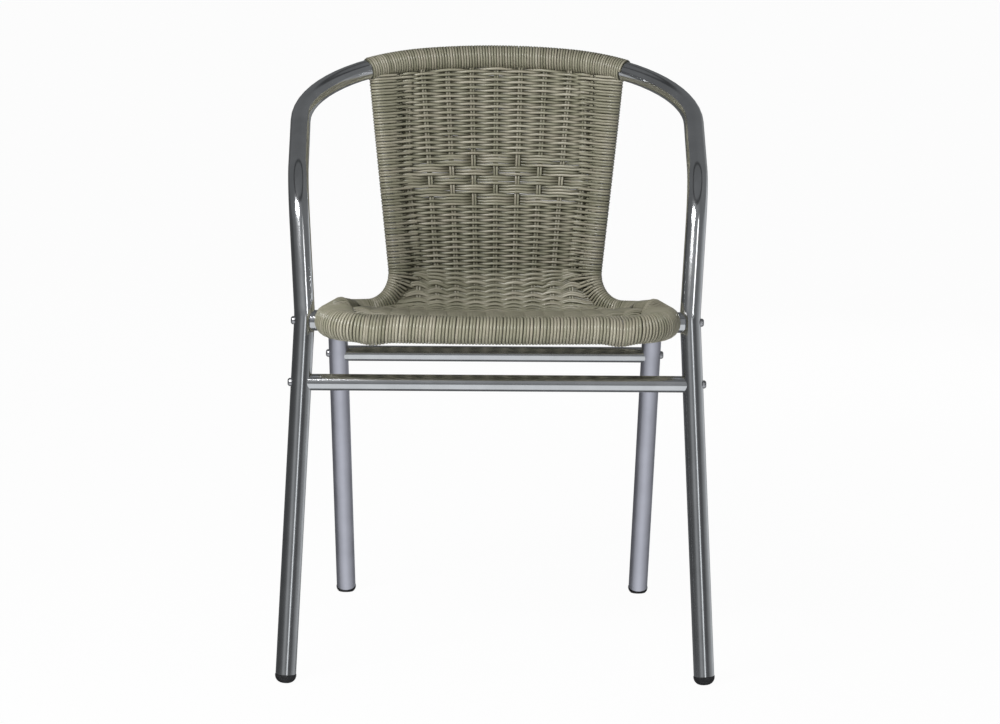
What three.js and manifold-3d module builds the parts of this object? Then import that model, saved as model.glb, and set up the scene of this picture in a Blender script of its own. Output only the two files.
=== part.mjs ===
// Woven bistro armchair: a polished aluminium bow carries the arms and the top rail, a second
// tube makes the seat rim and the rear legs, a thin hoop carries the weave, and synthetic cane
// is woven over the back and seat and wound round the rims. Nothing on it moves.
// Millimetres, Z up, the sitter faces -Y, +X on the right of somebody looking at the front.
import * as THREE from 'three';
import { mergeVertices } from 'three/addons/utils/BufferGeometryUtils.js';
import Module from 'manifold-3d';

const wasm = await Module();
wasm.setup();

// Tubes
const TUBE_DIA = 25;
const TUBE_WALL = 1.5;
const HOOP_DIA = 16;
const HOOP_WALL = 1.2;
const BAR_DIA = 20;
const BAR_WALL = 1.2;
const GAP = 0.3;               // left between pieces that touch on the real chair

// The chair's main sizes, from which the places of all its bends follow
const SEAT_HEIGHT = 440;       // where the seat tube is bolted to the front legs
const SEAT_DEPTH = 401;        // from the front feet's line to the crease under the back
const WAIST_HALF = 232;        // half the bow's width at the seat

// Bow, right half: foot, waist at the seat, arm front, rear corner, crown of the top rail. A rise
// is measured from the place named before it, and so is a splay, which takes the bow outward.
const FOOT_SPLAY = 22.5;
const WAIST_BACK = 36;
const WAIST_RISE = 6.5;        // above the seat tube
const WAIST_BEND = 60;
const ARM_SPLAY = 10;
const ARM_REACH = 46;          // behind the waist
const ARM_RISE = 154.5;
const ARM_BEND = 88;
const CORNER_SPLAY = 7.5;
const CORNER_BEHIND = 17;      // behind the crease
const CORNER_RISE = 105;
const CORNER_BEND = 197;
const CROWN_BEHIND = 42;       // behind the corners
const CROWN_RISE = 14.5;
const CROWN_BEND = 442;

// Seat tube, right half: rear foot, bend under the seat, side at the front leg, corner, front
const SPACER_SHOW = 5.1;       // leg to seat tube, surface to surface
const REAR_FOOT_INSET = 7.3;   // in from the seat tube's sides
const REAR_FOOT_BEHIND = 79;   // behind the crease
const REAR_BEND_AHEAD = 66;    // ahead of the crease
const REAR_BEND_DROP = 47;     // below the seat tube at the front legs
const REAR_BEND = 55;
const SIDE_BEND = 120;
const NOSE_BACK = -22;
const NOSE_INSET = 2.5;
const NOSE_BEND = 45;
const FRONT_BOW = 14;
const FRONT_BEND = 900;

// Hoop: down the back, out to the seat sides and round the front, lying on the seat tube
const HOOP_CLEAR = 1.7;
const HOOP_TOP_INSET = 46.9;   // in from the seat tube's sides
const HOOP_LOW_INSET = 78.9;
const HOOP_LOW_AHEAD = 11;     // ahead of the crease
const HOOP_LOW_DROP = 40;
const HOOP_LOW_BEND = 44;
const HOOP_SIDE_AHEAD = 49;
const HOOP_SIDE_BEND = 36;
const HOOP_EASE_BEND = 30;
const HOOP_REAR_TILT = 38;     // degrees above level at which the hoop leans on the seat tube
const HOOP_SIDE_TILT = 53;
const HOOP_NOSE_TILT = 8;

// Stretchers
const FRONT_BAR_DROP = 74.5;   // below the seat tube
const REAR_BAR_DROP = 96;

// Cane: thickness wound on each rim, and the woven skin
const RAIL_WIND = 2.3;
const RAIL_WIND_OVER = 8;      // how far the winding runs on past the hoop
const HOOP_WIND = 2.8;
const SIDE_WIND = 3.6;
const ROLL_WIND = 4.1;
const ROLL_START = 14;         // how far behind the front legs the front roll begins
const RAIL_PITCH = 3.65;       // from turn to turn of the strand round the top rail
const ROLL_PITCH = 4.6;
const ROLL_CLEAR = 1.6;         // from the hoop to the roll's bore
const STRAND_DIP = 0.9;         // how deep the dip is between two turns
const SPLIT_GAP = 0.5;         // along the surface, between the two skins
const BORE_EVERY = 5;          // turns from ring to ring of a wound sleeve's bore
const SIDE_WIND_AHEAD = 101;
const WIND_CLEAR = 0.9;        // inside a winding that holds two tubes
const WEAVE_RIB = 7.6;          // through the weave where a stake runs in it
const WEAVE_THIN = 3.4;         // and halfway between two stakes
const STAKES = 7;               // stakes on each side of the middle one at the front of the seat
const BACK_STAKES = 4;
const STAKE_TOP = 31.8;         // from stake to stake: at the rail, at the crease, at the front
const STAKE_LOW = 24.8;
const STAKE_FRONT = 23.4;
const CREASE_DROP = 50;
const CREASE_BEND = 36;
const BACK_HOLLOW = 4;         // how far the middle of the back lies behind the rail's centre

// Fastenings and feet
const BOLT_DIA = 6;
const BOLT_HEAD_DIA = 10.8;
const BOLT_HEAD_RISE = 3.8;
const INSERT_LENGTH = 18;
const NUT_DIA = 12;
const NUT_LENGTH = 8;
const PLUG_RISE = 11;
const PLUG_LIP = 0.5;          // how far a plug stands out past its tube
const PLUG_STEM = 16;
const WELD = 0.001;            // vertices closer than this are one
const OVERRUN = 6;             // how far cutting tools reach past what they cut

// Facets
const SIDES = 14;
const BORE_SIDES = 8;
const THIN_SIDES = 10;
const THIN_BORE_SIDES = 8;
const ROUND = 10;
const TURN_STEP = THREE.MathUtils.degToRad(18);
const WIND_SIDES = 10;
const TURN_SIDES = 8;
const SMALL_END_SHARE = 0.42;   // of a double winding's sides, those round the hoop

const X = new THREE.Vector3(1, 0, 0);
const UP = new THREE.Vector3(0, 0, 1);
const v3 = (x, y, z) => new THREE.Vector3(x, y, z);
const mirror = (p) => v3(-p.x, p.y, p.z);
const between = (a, b, share) => a.clone().lerp(b, share);

// A bent tube's centre line: straight runs joined by round bends, with a station at each end
// of a run and every few degrees of a bend.
class BentPath extends THREE.Curve {
  constructor(corners, bends, turnStep = TURN_STEP) {
    super();
    this.stations = [];
    corners.forEach((corner, i) => {
      if (i === 0 || i === corners.length - 1) {
        const from = i === 0 ? corner : corners[i - 1];
        const to = i === 0 ? corners[1] : corner;
        this.stations.push({ point: corner.clone(), tangent: to.clone().sub(from).normalize() });
      } else this.addBend(corners[i - 1], corner, corners[i + 1], bends[i - 1], turnStep);
    });
    this.lengths = [0];
    for (let i = 1; i < this.stations.length; i++) {
      const run = this.stations[i].point.distanceTo(this.stations[i - 1].point);
      this.lengths.push(this.lengths[i - 1] + run);
    }
    this.length = this.lengths[this.lengths.length - 1];
  }

  addBend(before, corner, after, radius, turnStep) {
    const into = corner.clone().sub(before).normalize();
    const out = after.clone().sub(corner).normalize();
    const turn = into.angleTo(out);
    const start = corner.clone().addScaledVector(into, -radius * Math.tan(turn / 2));
    const side = out.clone().addScaledVector(into, -out.dot(into)).normalize();
    const steps = Math.max(2, Math.round(turn / turnStep));
    for (let k = 0; k <= steps; k++) {
      const a = (turn * k) / steps;
      const point = start.clone().addScaledVector(into, radius * Math.sin(a));
      point.addScaledVector(side, radius * (1 - Math.cos(a)));
      const tangent = into.clone().multiplyScalar(Math.cos(a)).addScaledVector(side, Math.sin(a));
      this.stations.push({ point, tangent });
    }
  }

  get steps() { return this.stations.length - 1; }

  blend(place) {
    const i = Math.min(Math.floor(place), this.steps - 1);
    const a = this.stations[i];
    const b = this.stations[i + 1];
    const point = between(a.point, b.point, place - i);
    return { point, tangent: between(a.tangent, b.tangent, place - i).normalize() };
  }

  at(length) {
    const s = Math.min(Math.max(length, 0), this.length);
    let i = 0;
    while (i < this.steps - 1 && this.lengths[i + 1] < s) i++;
    return this.blend(i + (s - this.lengths[i]) / (this.lengths[i + 1] - this.lengths[i]));
  }

  getPoint(t) { return this.blend(t * this.steps).point; }

  getPointAt(u) { return this.getPoint(u); }

  getTangent(t) { return this.blend(t * this.steps).tangent; }

  getTangentAt(u) { return this.getTangent(u); }

  // the length along the path where test(point) changes sign between two lengths
  cross(test, from, to) {
    let [lo, hi] = [from, to];
    const sign = Math.sign(test(this.at(lo).point));
    for (let k = 0; k < 40; k++) {
      const mid = (lo + hi) / 2;
      if (Math.sign(test(this.at(mid).point)) === sign) lo = mid; else hi = mid;
    }
    return (lo + hi) / 2;
  }
}

// Solids
function asSolid(geometry) {
  const bare = geometry.clone();
  ['normal', 'uv'].forEach((name) => bare.deleteAttribute(name));
  const welded = mergeVertices(bare, WELD);
  return new wasm.Manifold(new wasm.Mesh({
    numProp: 3,
    vertProperties: new Float32Array(welded.attributes.position.array),
    triVerts: new Uint32Array(welded.index.array),
  }));
}

function asGeometry(solid) {
  const mesh = solid.getMesh();
  const geometry = new THREE.BufferGeometry();
  geometry.setAttribute('position', new THREE.BufferAttribute(mesh.vertProperties, 3));
  geometry.setIndex(new THREE.BufferAttribute(mesh.triVerts, 1));
  geometry.computeVertexNormals();
  return geometry;
}

function polygon(radius, sides) {
  return Array.from({ length: sides }, (_, k) => {
    const a = (2 * Math.PI * k) / sides;
    return new THREE.Vector2(radius * Math.cos(a), radius * Math.sin(a));
  });
}

// the corner radius of a polygon that holds a circle
const grown = (radius, sides) => radius / Math.cos(Math.PI / sides);

function tube(path, dia, wall, sides, boreSides) {
  const section = new THREE.Shape(polygon(dia / 2, sides));
  if (wall) section.holes.push(new THREE.Path(polygon(grown(dia / 2 - wall, boreSides), boreSides)));
  const options = { steps: path.steps, extrudePath: path, bevelEnabled: false };
  return new THREE.ExtrudeGeometry(section, options);
}

const rod = (path, dia, sides) => asSolid(tube(path, dia, 0, sides));

// a turned piece whose profile (radius, height) pairs run along the line from one point to another
function turned(profile, from, to, sides = ROUND) {
  const points = profile.map(([r, h]) => new THREE.Vector2(r, h));
  const geometry = new THREE.LatheGeometry(points, sides);
  const along = to.clone().sub(from).normalize();
  const turn = new THREE.Quaternion().setFromUnitVectors(v3(0, 1, 0), along);
  return geometry.applyQuaternion(turn).translate(from.x, from.y, from.z);
}

const pin = (dia, from, to, sides = ROUND) => asSolid(turned(
  [[0, 0], [dia / 2, 0], [dia / 2, from.distanceTo(to)], [0, from.distanceTo(to)]], from, to, sides));

// a closed skin from rings of points; a second set of rings inside makes it a sleeve
function skin(rings, bore) {
  const count = rings[0].length;
  const points = [...rings.flat(), ...(bore ? bore.flat() : [])];
  const index = [];
  const quad = (a, b, c, d) => index.push(a, b, c, a, c, d);
  const wall = (first, rows, flip) => {
    for (let i = 0; i < rows - 1; i++) {
      for (let k = 0; k < count; k++) {
        const a = first + i * count + k;
        const b = first + i * count + ((k + 1) % count);
        if (flip) quad(a, a + count, b + count, b); else quad(a, b, b + count, a + count);
      }
    }
  };
  wall(0, rings.length, false);
  if (bore) {
    const inner = rings.length * count;
    wall(inner, bore.length, true);
    const lastOut = (rings.length - 1) * count;
    const lastIn = inner + (bore.length - 1) * count;
    for (let k = 0; k < count; k++) {
      const n = (k + 1) % count;
      quad(k, inner + k, inner + n, n);
      quad(lastOut + k, lastOut + n, lastIn + n, lastIn + k);
    }
  } else {
    const last = (rings.length - 1) * count;
    for (let k = 0; k < count / 2 - 1; k++) {
      const across = count - 1 - k;
      quad(k, across, across - 1, k + 1);
      quad(last + k, last + k + 1, last + across - 1, last + across);
    }
  }
  const geometry = new THREE.BufferGeometry().setFromPoints(points);
  geometry.setIndex(index);
  geometry.computeVertexNormals();
  return geometry;
}

// Centre lines
const footRight = v3(WAIST_HALF + FOOT_SPLAY, 0, 0);
const waistHeight = SEAT_HEIGHT + WAIST_RISE;
const armHeight = waistHeight + ARM_RISE;
const cornerHeight = armHeight + CORNER_RISE;
const armHalf = WAIST_HALF + ARM_SPLAY;
const cornerBack = SEAT_DEPTH + CORNER_BEHIND;
const waistRight = v3(WAIST_HALF, WAIST_BACK, waistHeight);
const legRun = waistRight.clone().sub(footRight);
const onLeg = (height) => footRight.clone().addScaledVector(legRun, height / legRun.z);
const legEnd = onLeg(PLUG_RISE);
const bowHalf = [legEnd, waistRight, v3(armHalf, WAIST_BACK + ARM_REACH, armHeight),
  v3(armHalf + CORNER_SPLAY, cornerBack, cornerHeight)];
const bowBends = [WAIST_BEND, ARM_BEND, CORNER_BEND];
const bowPath = new BentPath(
  [...bowHalf, v3(0, cornerBack + CROWN_BEHIND, cornerHeight + CROWN_RISE), ...bowHalf.map(mirror).reverse()],
  [...bowBends, CROWN_BEND, ...bowBends.slice().reverse()]);

const joint = bowPath.at(bowPath.cross((p) => p.z - SEAT_HEIGHT, 0, waistHeight)).point;
const sideHalf = joint.x - TUBE_DIA - SPACER_SHOW;
const seatSide = v3(sideHalf, joint.y, SEAT_HEIGHT);
const rearFoot = v3(sideHalf - REAR_FOOT_INSET, SEAT_DEPTH + REAR_FOOT_BEHIND, 0);
const rearBend = v3(sideHalf, SEAT_DEPTH - REAR_BEND_AHEAD, SEAT_HEIGHT - REAR_BEND_DROP);
const rearRun = rearBend.clone().sub(rearFoot);
const onRearLeg = (height) => rearFoot.clone().addScaledVector(rearRun, height / rearRun.z);
const nose = v3(sideHalf - NOSE_INSET, NOSE_BACK, SEAT_HEIGHT);
const frontMid = v3(0, NOSE_BACK - FRONT_BOW, SEAT_HEIGHT);
const rearCut = PLUG_RISE * Math.abs(rearRun.length() / rearRun.z);
const rearEnd = rearFoot.clone().addScaledVector(rearRun, rearCut / rearRun.length());
const seatHalf = [rearEnd, rearBend, seatSide, nose];
const seatBends = [REAR_BEND, SIDE_BEND, NOSE_BEND];
const seatPath = new BentPath(
  [...seatHalf, frontMid, ...seatHalf.map(mirror).reverse()],
  [...seatBends, FRONT_BEND, ...seatBends.slice().reverse()]);

const HOOP_REACH = (TUBE_DIA + HOOP_DIA) / 2 + HOOP_CLEAR;
function leanOn(point, tilt, inX, inY) {
  const a = THREE.MathUtils.degToRad(tilt);
  const level = HOOP_REACH * Math.cos(a);
  return point.clone().add(v3(inX * level, inY * level, HOOP_REACH * Math.sin(a)));
}
const onSide = (y) => between(rearBend, seatSide, (rearBend.y - y) / (rearBend.y - joint.y));
// the length along the right-hand half of a path where a test changes sign
const find = (path, test) => path.cross(test, 0, path.length / 2);
const railLength = (x) => bowPath.cross((p) => p.x - x, 0, bowPath.length);
const hoopTop = bowPath.at(railLength(sideHalf - HOOP_TOP_INSET)).point;
const hoopNoseBend = NOSE_BEND - HOOP_REACH * Math.cos(THREE.MathUtils.degToRad(HOOP_NOSE_TILT));
const hoopLow = v3(sideHalf - HOOP_LOW_INSET, SEAT_DEPTH - HOOP_LOW_AHEAD, SEAT_HEIGHT - HOOP_LOW_DROP);
const hoopHalf = [hoopTop, hoopLow,
  leanOn(onSide(SEAT_DEPTH - HOOP_SIDE_AHEAD), HOOP_REAR_TILT, -1, 0),
  leanOn(seatSide, HOOP_SIDE_TILT, -1, 0), leanOn(nose, HOOP_NOSE_TILT, -1, 1)];
const hoopBends = [HOOP_LOW_BEND, HOOP_SIDE_BEND, HOOP_EASE_BEND, hoopNoseBend];
const hoopPath = new BentPath(
  [...hoopHalf, leanOn(frontMid, HOOP_NOSE_TILT, 0, 1), ...hoopHalf.map(mirror).reverse()],
  [...hoopBends, FRONT_BEND, ...hoopBends.slice().reverse()]);

// Frame tubes
const fullBow = asSolid(tube(bowPath, TUBE_DIA, TUBE_WALL, SIDES, BORE_SIDES));
const fullSeat = asSolid(tube(seatPath, TUBE_DIA, TUBE_WALL, SIDES, BORE_SIDES));
const fullHoop = asSolid(tube(hoopPath, HOOP_DIA, HOOP_WALL, THIN_SIDES, THIN_BORE_SIDES));
const bowCore = rod(bowPath, TUBE_DIA + 2 * GAP, SIDES);
const seatCore = rod(seatPath, TUBE_DIA + 2 * GAP, SIDES);
const hoopCore = rod(hoopPath, HOOP_DIA + 2 * GAP, THIN_SIDES);

// A bolt runs from outside a leg, through both walls, into what is bolted on
function boltParts(onLegPoint, inward, reach) {
  const head = onLegPoint.clone().addScaledVector(inward, -TUBE_DIA / 2);
  const end = onLegPoint.clone().addScaledVector(inward, TUBE_DIA / 2 + reach);
  const tip = head.clone().addScaledVector(inward, -OVERRUN);
  return { head, end, hole: pin(BOLT_DIA + 2 * GAP, tip, end.clone().addScaledVector(inward, OVERRUN)) };
}

function bolt({ head, end }, core) {
  const inward = end.clone().sub(head).normalize();
  const back = head.clone().addScaledVector(inward, TUBE_DIA / 4);
  const out = inward.clone().negate();
  const rim = TUBE_DIA / 4 + GAP;
  const r = BOLT_HEAD_DIA / 2;
  const domeShares = [[1, 0.25], [0.9, 0.6], [0.66, 0.87], [0.34, 0.98]];
  const dome = domeShares.map(([across, up]) => [r * across, rim + BOLT_HEAD_RISE * up]);
  const cap = turned([[0, 0], [r, 0], ...dome, [0, rim + BOLT_HEAD_RISE]], back,
    back.clone().add(out), ROUND);
  const shank = pin(BOLT_DIA, head.clone().addScaledVector(inward, -BOLT_HEAD_RISE / 2), end, BORE_SIDES);
  return asGeometry(asSolid(cap).subtract(core).add(shank));
}

function straightTube(from, to, dia, wall) {
  return asSolid(tube(new BentPath([from, to], []), dia, wall, SIDES, BORE_SIDES));
}

function stretcher(at) {
  return straightTube(mirror(at), at, BAR_DIA, BAR_WALL);
}

// threaded plug inside a stretcher's end
function insert(at, core) {
  const face = at.clone().addScaledVector(X, -TUBE_DIA / 2 - GAP);
  const inner = face.clone().addScaledVector(X, -INSERT_LENGTH);
  const dia = BAR_DIA - 2 * BAR_WALL - 2 * GAP;
  const bore = pin(BOLT_DIA + 2 * GAP, inner.clone().addScaledVector(X, -OVERRUN),
    face.clone().addScaledVector(X, OVERRUN), BORE_SIDES);
  return pin(dia, inner, face.clone().addScaledVector(X, TUBE_DIA / 4), SIDES).subtract(core).subtract(bore);
}

const INWARD = v3(-1, 0, 0);
const frontBarAt = onLeg(SEAT_HEIGHT - FRONT_BAR_DROP);
const rearBarAt = onRearLeg(SEAT_HEIGHT - REAR_BAR_DROP);
const seatBolt = boltParts(joint, INWARD, SPACER_SHOW + TUBE_WALL + NUT_LENGTH);
const frontBarBolt = boltParts(frontBarAt, INWARD, INSERT_LENGTH - OVERRUN / 2);
const rearBarBolt = boltParts(rearBarAt, INWARD, INSERT_LENGTH - OVERRUN / 2);

const flipX = (solid) => solid.scale([-1, 1, 1]);
const both = (solid, tool) => solid.subtract(tool).subtract(flipX(tool));

const bowTube = both(both(fullBow, seatBolt.hole), frontBarBolt.hole);
const seatHole = pin(BOLT_DIA + 2 * GAP, joint, seatSide);
const seatTube = both(both(fullSeat, seatHole), rearBarBolt.hole);
const hoopTube = fullHoop.subtract(bowCore);
const saddle = v3(TUBE_DIA / 4, 0, 0); // how far a spacer reaches round its two tubes
const spacer = pin(TUBE_DIA, joint.clone().sub(saddle), seatSide.clone().add(saddle), SIDES)
  .subtract(bowCore).subtract(seatCore).subtract(seatBolt.hole);
const frontBar = stretcher(frontBarAt).subtract(bowCore);
const rearBar = stretcher(rearBarAt).subtract(seatCore);

function seatNut() {
  const outer = seatSide.clone().addScaledVector(X, TUBE_DIA / 2 - TUBE_WALL - 2 * GAP);
  const inner = outer.clone().addScaledVector(X, -NUT_LENGTH);
  const bore = pin(BOLT_DIA + GAP, inner.clone().addScaledVector(X, -OVERRUN),
    outer.clone().addScaledVector(X, OVERRUN), BORE_SIDES);
  const block = pin(NUT_DIA, inner, outer, 6);
  const room = rod(seatPath, TUBE_DIA - 2 * TUBE_WALL - 2 * GAP, BORE_SIDES);
  return block.intersect(room).subtract(bore);
}

// Feet: a domed plug pressed into the tube's end, worn flat where it stands
function footPlug(end, direction) {
  const r = TUBE_DIA / 2 + PLUG_LIP;
  const stem = TUBE_DIA / 2 - TUBE_WALL - GAP;
  const drop = end.z / Math.abs(direction.z) + PLUG_LIP;
  const shares = [[1, 0.45], [0.9, 0.75], [0.72, 0.92], [0.4, 1.04], [0, 1.08]];
  const dome = shares.map(([across, down]) => [r * across, PLUG_STEM + drop * down]);
  const profile = [[0, 0], [stem, 0], [stem, PLUG_STEM + GAP], [r, PLUG_STEM + GAP], ...dome];
  const start = end.clone().addScaledVector(direction, -PLUG_STEM);
  const plug = asSolid(turned(profile, start, start.clone().add(direction), SIDES));
  const block = new THREE.BoxGeometry(4 * TUBE_DIA, 4 * TUBE_DIA, 4 * TUBE_DIA);
  block.translate(end.x, end.y, 2 * TUBE_DIA);
  return asGeometry(plug.intersect(asSolid(block)));
}

// Windings: a sleeve round one tube, or round the seat tube and the hoop together. A ring is
// drawn round one circle or round two; a bore's ring lies outside them, to clear what it holds.
function arcPoints(frame, { x, y, r }, from, sweep, sides, bore) {
  const step = sweep / sides;
  const reach = bore ? r / Math.cos(step / 2) : r;
  return Array.from({ length: sides }, (_, k) => {
    const a = from + step * (k + 1 / 2);
    return frame.point.clone().addScaledVector(frame.side, x + reach * Math.cos(a))
      .addScaledVector(frame.up, y + reach * Math.sin(a));
  });
}

function ringOn(frame, [first, second], bore, sides = WIND_SIDES) {
  if (!second) return arcPoints(frame, first, 0, 2 * Math.PI, sides, bore);
  const lean = Math.atan2(second.y - first.y, second.x - first.x);
  const apart = Math.hypot(second.x - first.x, second.y - first.y);
  const edge = Math.acos((first.r - second.r) / apart);
  const few = Math.round(sides * SMALL_END_SHARE);
  return [...arcPoints(frame, first, lean + edge, 2 * (Math.PI - edge), sides - few, bore),
    ...arcPoints(frame, second, lean - edge, 2 * edge, few, bore)];
}

function framesOn(path, lengths, firstUp) {
  let up = firstUp.clone();
  return lengths.map((s) => {
    const { point, tangent } = path.at(s);
    up = up.clone().addScaledVector(tangent, -up.dot(tangent)).normalize();
    return { s, point, tangent, up: up.clone(), side: up.clone().cross(tangent).normalize() };
  });
}

const spread = (from, to, count) => Array.from({ length: count + 1 },
  (_, k) => from + ((to - from) * k) / count);

// stations of a path between two lengths, with both ends
function stops(path, from, to, most) {
  const cuts = [from, ...path.lengths.filter((s) => s > from + GAP && s < to - GAP), to];
  return cuts.flatMap((s, i) => {
    if (i === 0) return [s];
    const parts = Math.max(1, Math.ceil((s - cuts[i - 1]) / most));
    return spread(cuts[i - 1], s, parts).slice(1);
  });
}

function simpleWinding(path, from, to, dia, wind, firstUp, most) {
  const frames = framesOn(path, stops(path, from, to, most), firstUp);
  const outer = frames.map((f) => ringOn(f, [{ x: 0, y: 0, r: dia / 2 + wind }], false));
  const inner = frames.map((f) => ringOn(f, [{ x: 0, y: 0, r: dia / 2 + GAP }], true));
  return skin(outer, inner);
}

// A sleeve wound from one strand: its crest and its dip run side by side along a path, round and
// round, so that every turn is a rib. out holds how far the crest and the bore stand off what the
// sleeve is wound on, and ringAt draws a ring of TURN_SIDES points at a frame.
function wound(path, from, to, pitch, [crestOut, boreOut], ringAt) {
  const n = TURN_SIDES;
  const turns = Math.floor((to - from) / pitch) - 1;
  const lead = (to - from - turns * pitch) / 2;
  const count = turns * n + 1;
  const along = Array.from({ length: count }, (_, j) => from + lead + (pitch * j) / n - pitch / 2);
  const strand = (shift, out) => framesOn(path, along.map((s) => s + shift), UP)
    .map((f, j) => ringAt(f, out, true)[j % n]);
  const crest = strand(0, crestOut);
  const dip = strand(pitch / 2, crestOut - STRAND_DIP);
  const ends = framesOn(path, [from, to], UP).map((f) => ringAt(f, crestOut - STRAND_DIP, true));
  const boreAt = stops(path, from, to, BORE_EVERY * pitch);
  const bore = framesOn(path, boreAt, UP).map((f) => ringAt(f, boreOut, true));
  return threadSkin(crest, dip, ends, bore);
}

// the skin over a crest and a dip that run side by side, closed at both ends and along a bore
function threadSkin(crest, dip, [startRing, endRing], bore) {
  const n = startRing.length;
  const points = [...crest, ...dip, ...startRing, ...endRing, ...bore.flat()];
  const [dipAt, startAt] = [crest.length, 2 * crest.length];
  const [endAt, boreFrom] = [startAt + n, startAt + 2 * n];
  const lastBore = boreFrom + (bore.length - 1) * n;
  const last = crest.length - 1;
  const index = [];
  const quad = (a, b, c, d) => index.push(a, b, c, a, c, d);
  for (let j = 0; j < last; j++) {
    quad(j, j + 1, dipAt + j + 1, dipAt + j);
    if (j + n < last) quad(dipAt + j, dipAt + j + 1, j + n + 1, j + n);
  }
  for (let k = 0; k < n; k++) {
    const next = (k + 1) % n;
    quad(startAt + k, startAt + next, k + 1, k);
    quad(startAt + next, startAt + k, boreFrom + k, boreFrom + next);
    const j = last - n + k;
    const here = (j % n + n) % n;
    quad(dipAt + j, dipAt + j + 1, endAt + ((here + 1) % n), endAt + here);
    quad(endAt + here, endAt + ((here + 1) % n), lastBore + ((here + 1) % n), lastBore + here);
    for (let i = 0; i < bore.length - 1; i++) {
      const row = boreFrom + i * n;
      quad(row + next, row + k, row + n + k, row + n + next);
    }
  }
  index.push(startAt, 0, dipAt, startAt, dipAt, n);
  index.push(last, endAt, dipAt + last, last, dipAt + last - n, endAt);
  const geometry = new THREE.BufferGeometry().setFromPoints(points);
  geometry.setIndex(index);
  geometry.computeVertexNormals();
  return geometry;
}

// where the hoop passes the plane of a frame on the seat tube
function hoopIn(frame, near) {
  const test = (p) => p.clone().sub(frame.point).dot(frame.tangent);
  const s = hoopPath.cross(test, near[0], near[1]);
  const passing = hoopPath.at(s);
  const off = passing.point.clone().sub(frame.point);
  const radius = HOOP_DIA / 2 / Math.abs(passing.tangent.dot(frame.tangent));
  return { x: off.dot(frame.side), y: off.dot(frame.up), radius };
}

const seatMid = seatPath.length / 2;
const hoopMid = hoopPath.length / 2;
const sideLength = (y) => find(seatPath, (p) => p.y - y);
const rollFrom = sideLength(joint.y + ROLL_START);
const sideWindBack = SEAT_DEPTH - SIDE_WIND_AHEAD;
const sideFrom = sideLength(sideWindBack);
const hoopShare = find(hoopPath, (p) => p.y - sideWindBack);
const perSeatLength = (hoopMid - hoopShare) / (seatMid - sideFrom);
const nearOnHoop = (s) => {
  const off = hoopMid + (s - seatMid) * perSeatLength;
  return [off - 2 * HOOP_REACH, off + 2 * HOOP_REACH];
};

// rings round the seat tube and the hoop, as far out from each as is asked
function doubleRing(frame, onTube, onHoop, bore, sides) {
  const { x, y, radius } = hoopIn(frame, nearOnHoop(frame.s));
  return ringOn(frame, [{ x: 0, y: 0, r: TUBE_DIA / 2 + onTube }, { x, y, r: radius + onHoop }], bore, sides);
}

function doubleRings(from, to, most, sides = WIND_SIDES) {
  const frames = framesOn(seatPath, stops(seatPath, from, to, most), UP);
  return (onTube, onHoop, bore) => frames.map((f) => doubleRing(f, onTube, onHoop, bore, sides));
}

function doubleWinding(rings, tubeWind) {
  const sleeve = asSolid(skin(rings(tubeWind, HOOP_WIND, false), rings(WIND_CLEAR, WIND_CLEAR, true)));
  const room = asSolid(skin(rings(tubeWind + GAP, HOOP_WIND + GAP, true)));
  return { sleeve: sleeve.subtract(seatCore).subtract(hoopCore), room };
}

const spacerRoom = pin(TUBE_DIA + 2 * GAP, joint, seatSide, SIDES);
const rollSpan = [rollFrom + GAP, seatPath.length - rollFrom - GAP];
const perRollWind = (HOOP_WIND - ROLL_CLEAR) / (ROLL_WIND - WIND_CLEAR);
function rollRing(frame, out, bore) {
  const onHoop = ROLL_CLEAR + (out - WIND_CLEAR) * perRollWind;
  return doubleRing(frame, out, onHoop, bore, TURN_SIDES);
}
const rollSleeve = asSolid(wound(seatPath, ...rollSpan, ROLL_PITCH, [ROLL_WIND, WIND_CLEAR], rollRing));
const frontRoll = both(rollSleeve, spacerRoom);
const rollRings = doubleRings(...rollSpan, TUBE_DIA, TURN_SIDES);
const rollRoom = asSolid(skin(rollRings(ROLL_WIND + 2 * GAP, HOOP_WIND + 2 * GAP, true)));
const side = doubleWinding(doubleRings(sideFrom, rollFrom, 4 * TUBE_DIA), SIDE_WIND);
const sideWinding = side.sleeve.subtract(spacerRoom);

const railWindHalf = hoopTop.x + RAIL_WIND_OVER;
const railRing = (frame, out, bore) =>
  ringOn(frame, [{ x: 0, y: 0, r: TUBE_DIA / 2 + out }], bore, TURN_SIDES);
const railWinding = both(asSolid(wound(bowPath, railLength(railWindHalf), railLength(-railWindHalf),
  RAIL_PITCH, [RAIL_WIND, 2 * GAP], railRing)), hoopCore);

const hoopTopGap = grown(TUBE_DIA / 2 + RAIL_WIND, TURN_SIDES) + 2 * GAP;
const sideStart = seatPath.at(sideFrom);
const sideMeet = find(hoopPath,
  (p) => p.clone().sub(sideStart.point).dot(sideStart.tangent));
const sideTurn = hoopPath.at(sideMeet).tangent.angleTo(sideStart.tangent);
const backWindEnd = sideMeet - GAP - (HOOP_DIA / 2 + HOOP_WIND) * Math.tan(sideTurn);
const backWinding = asSolid(simpleWinding(hoopPath, hoopTopGap, backWindEnd, HOOP_DIA, HOOP_WIND,
  v3(0, 1, 0), 4 * TUBE_DIA)).subtract(seatCore);

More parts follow.
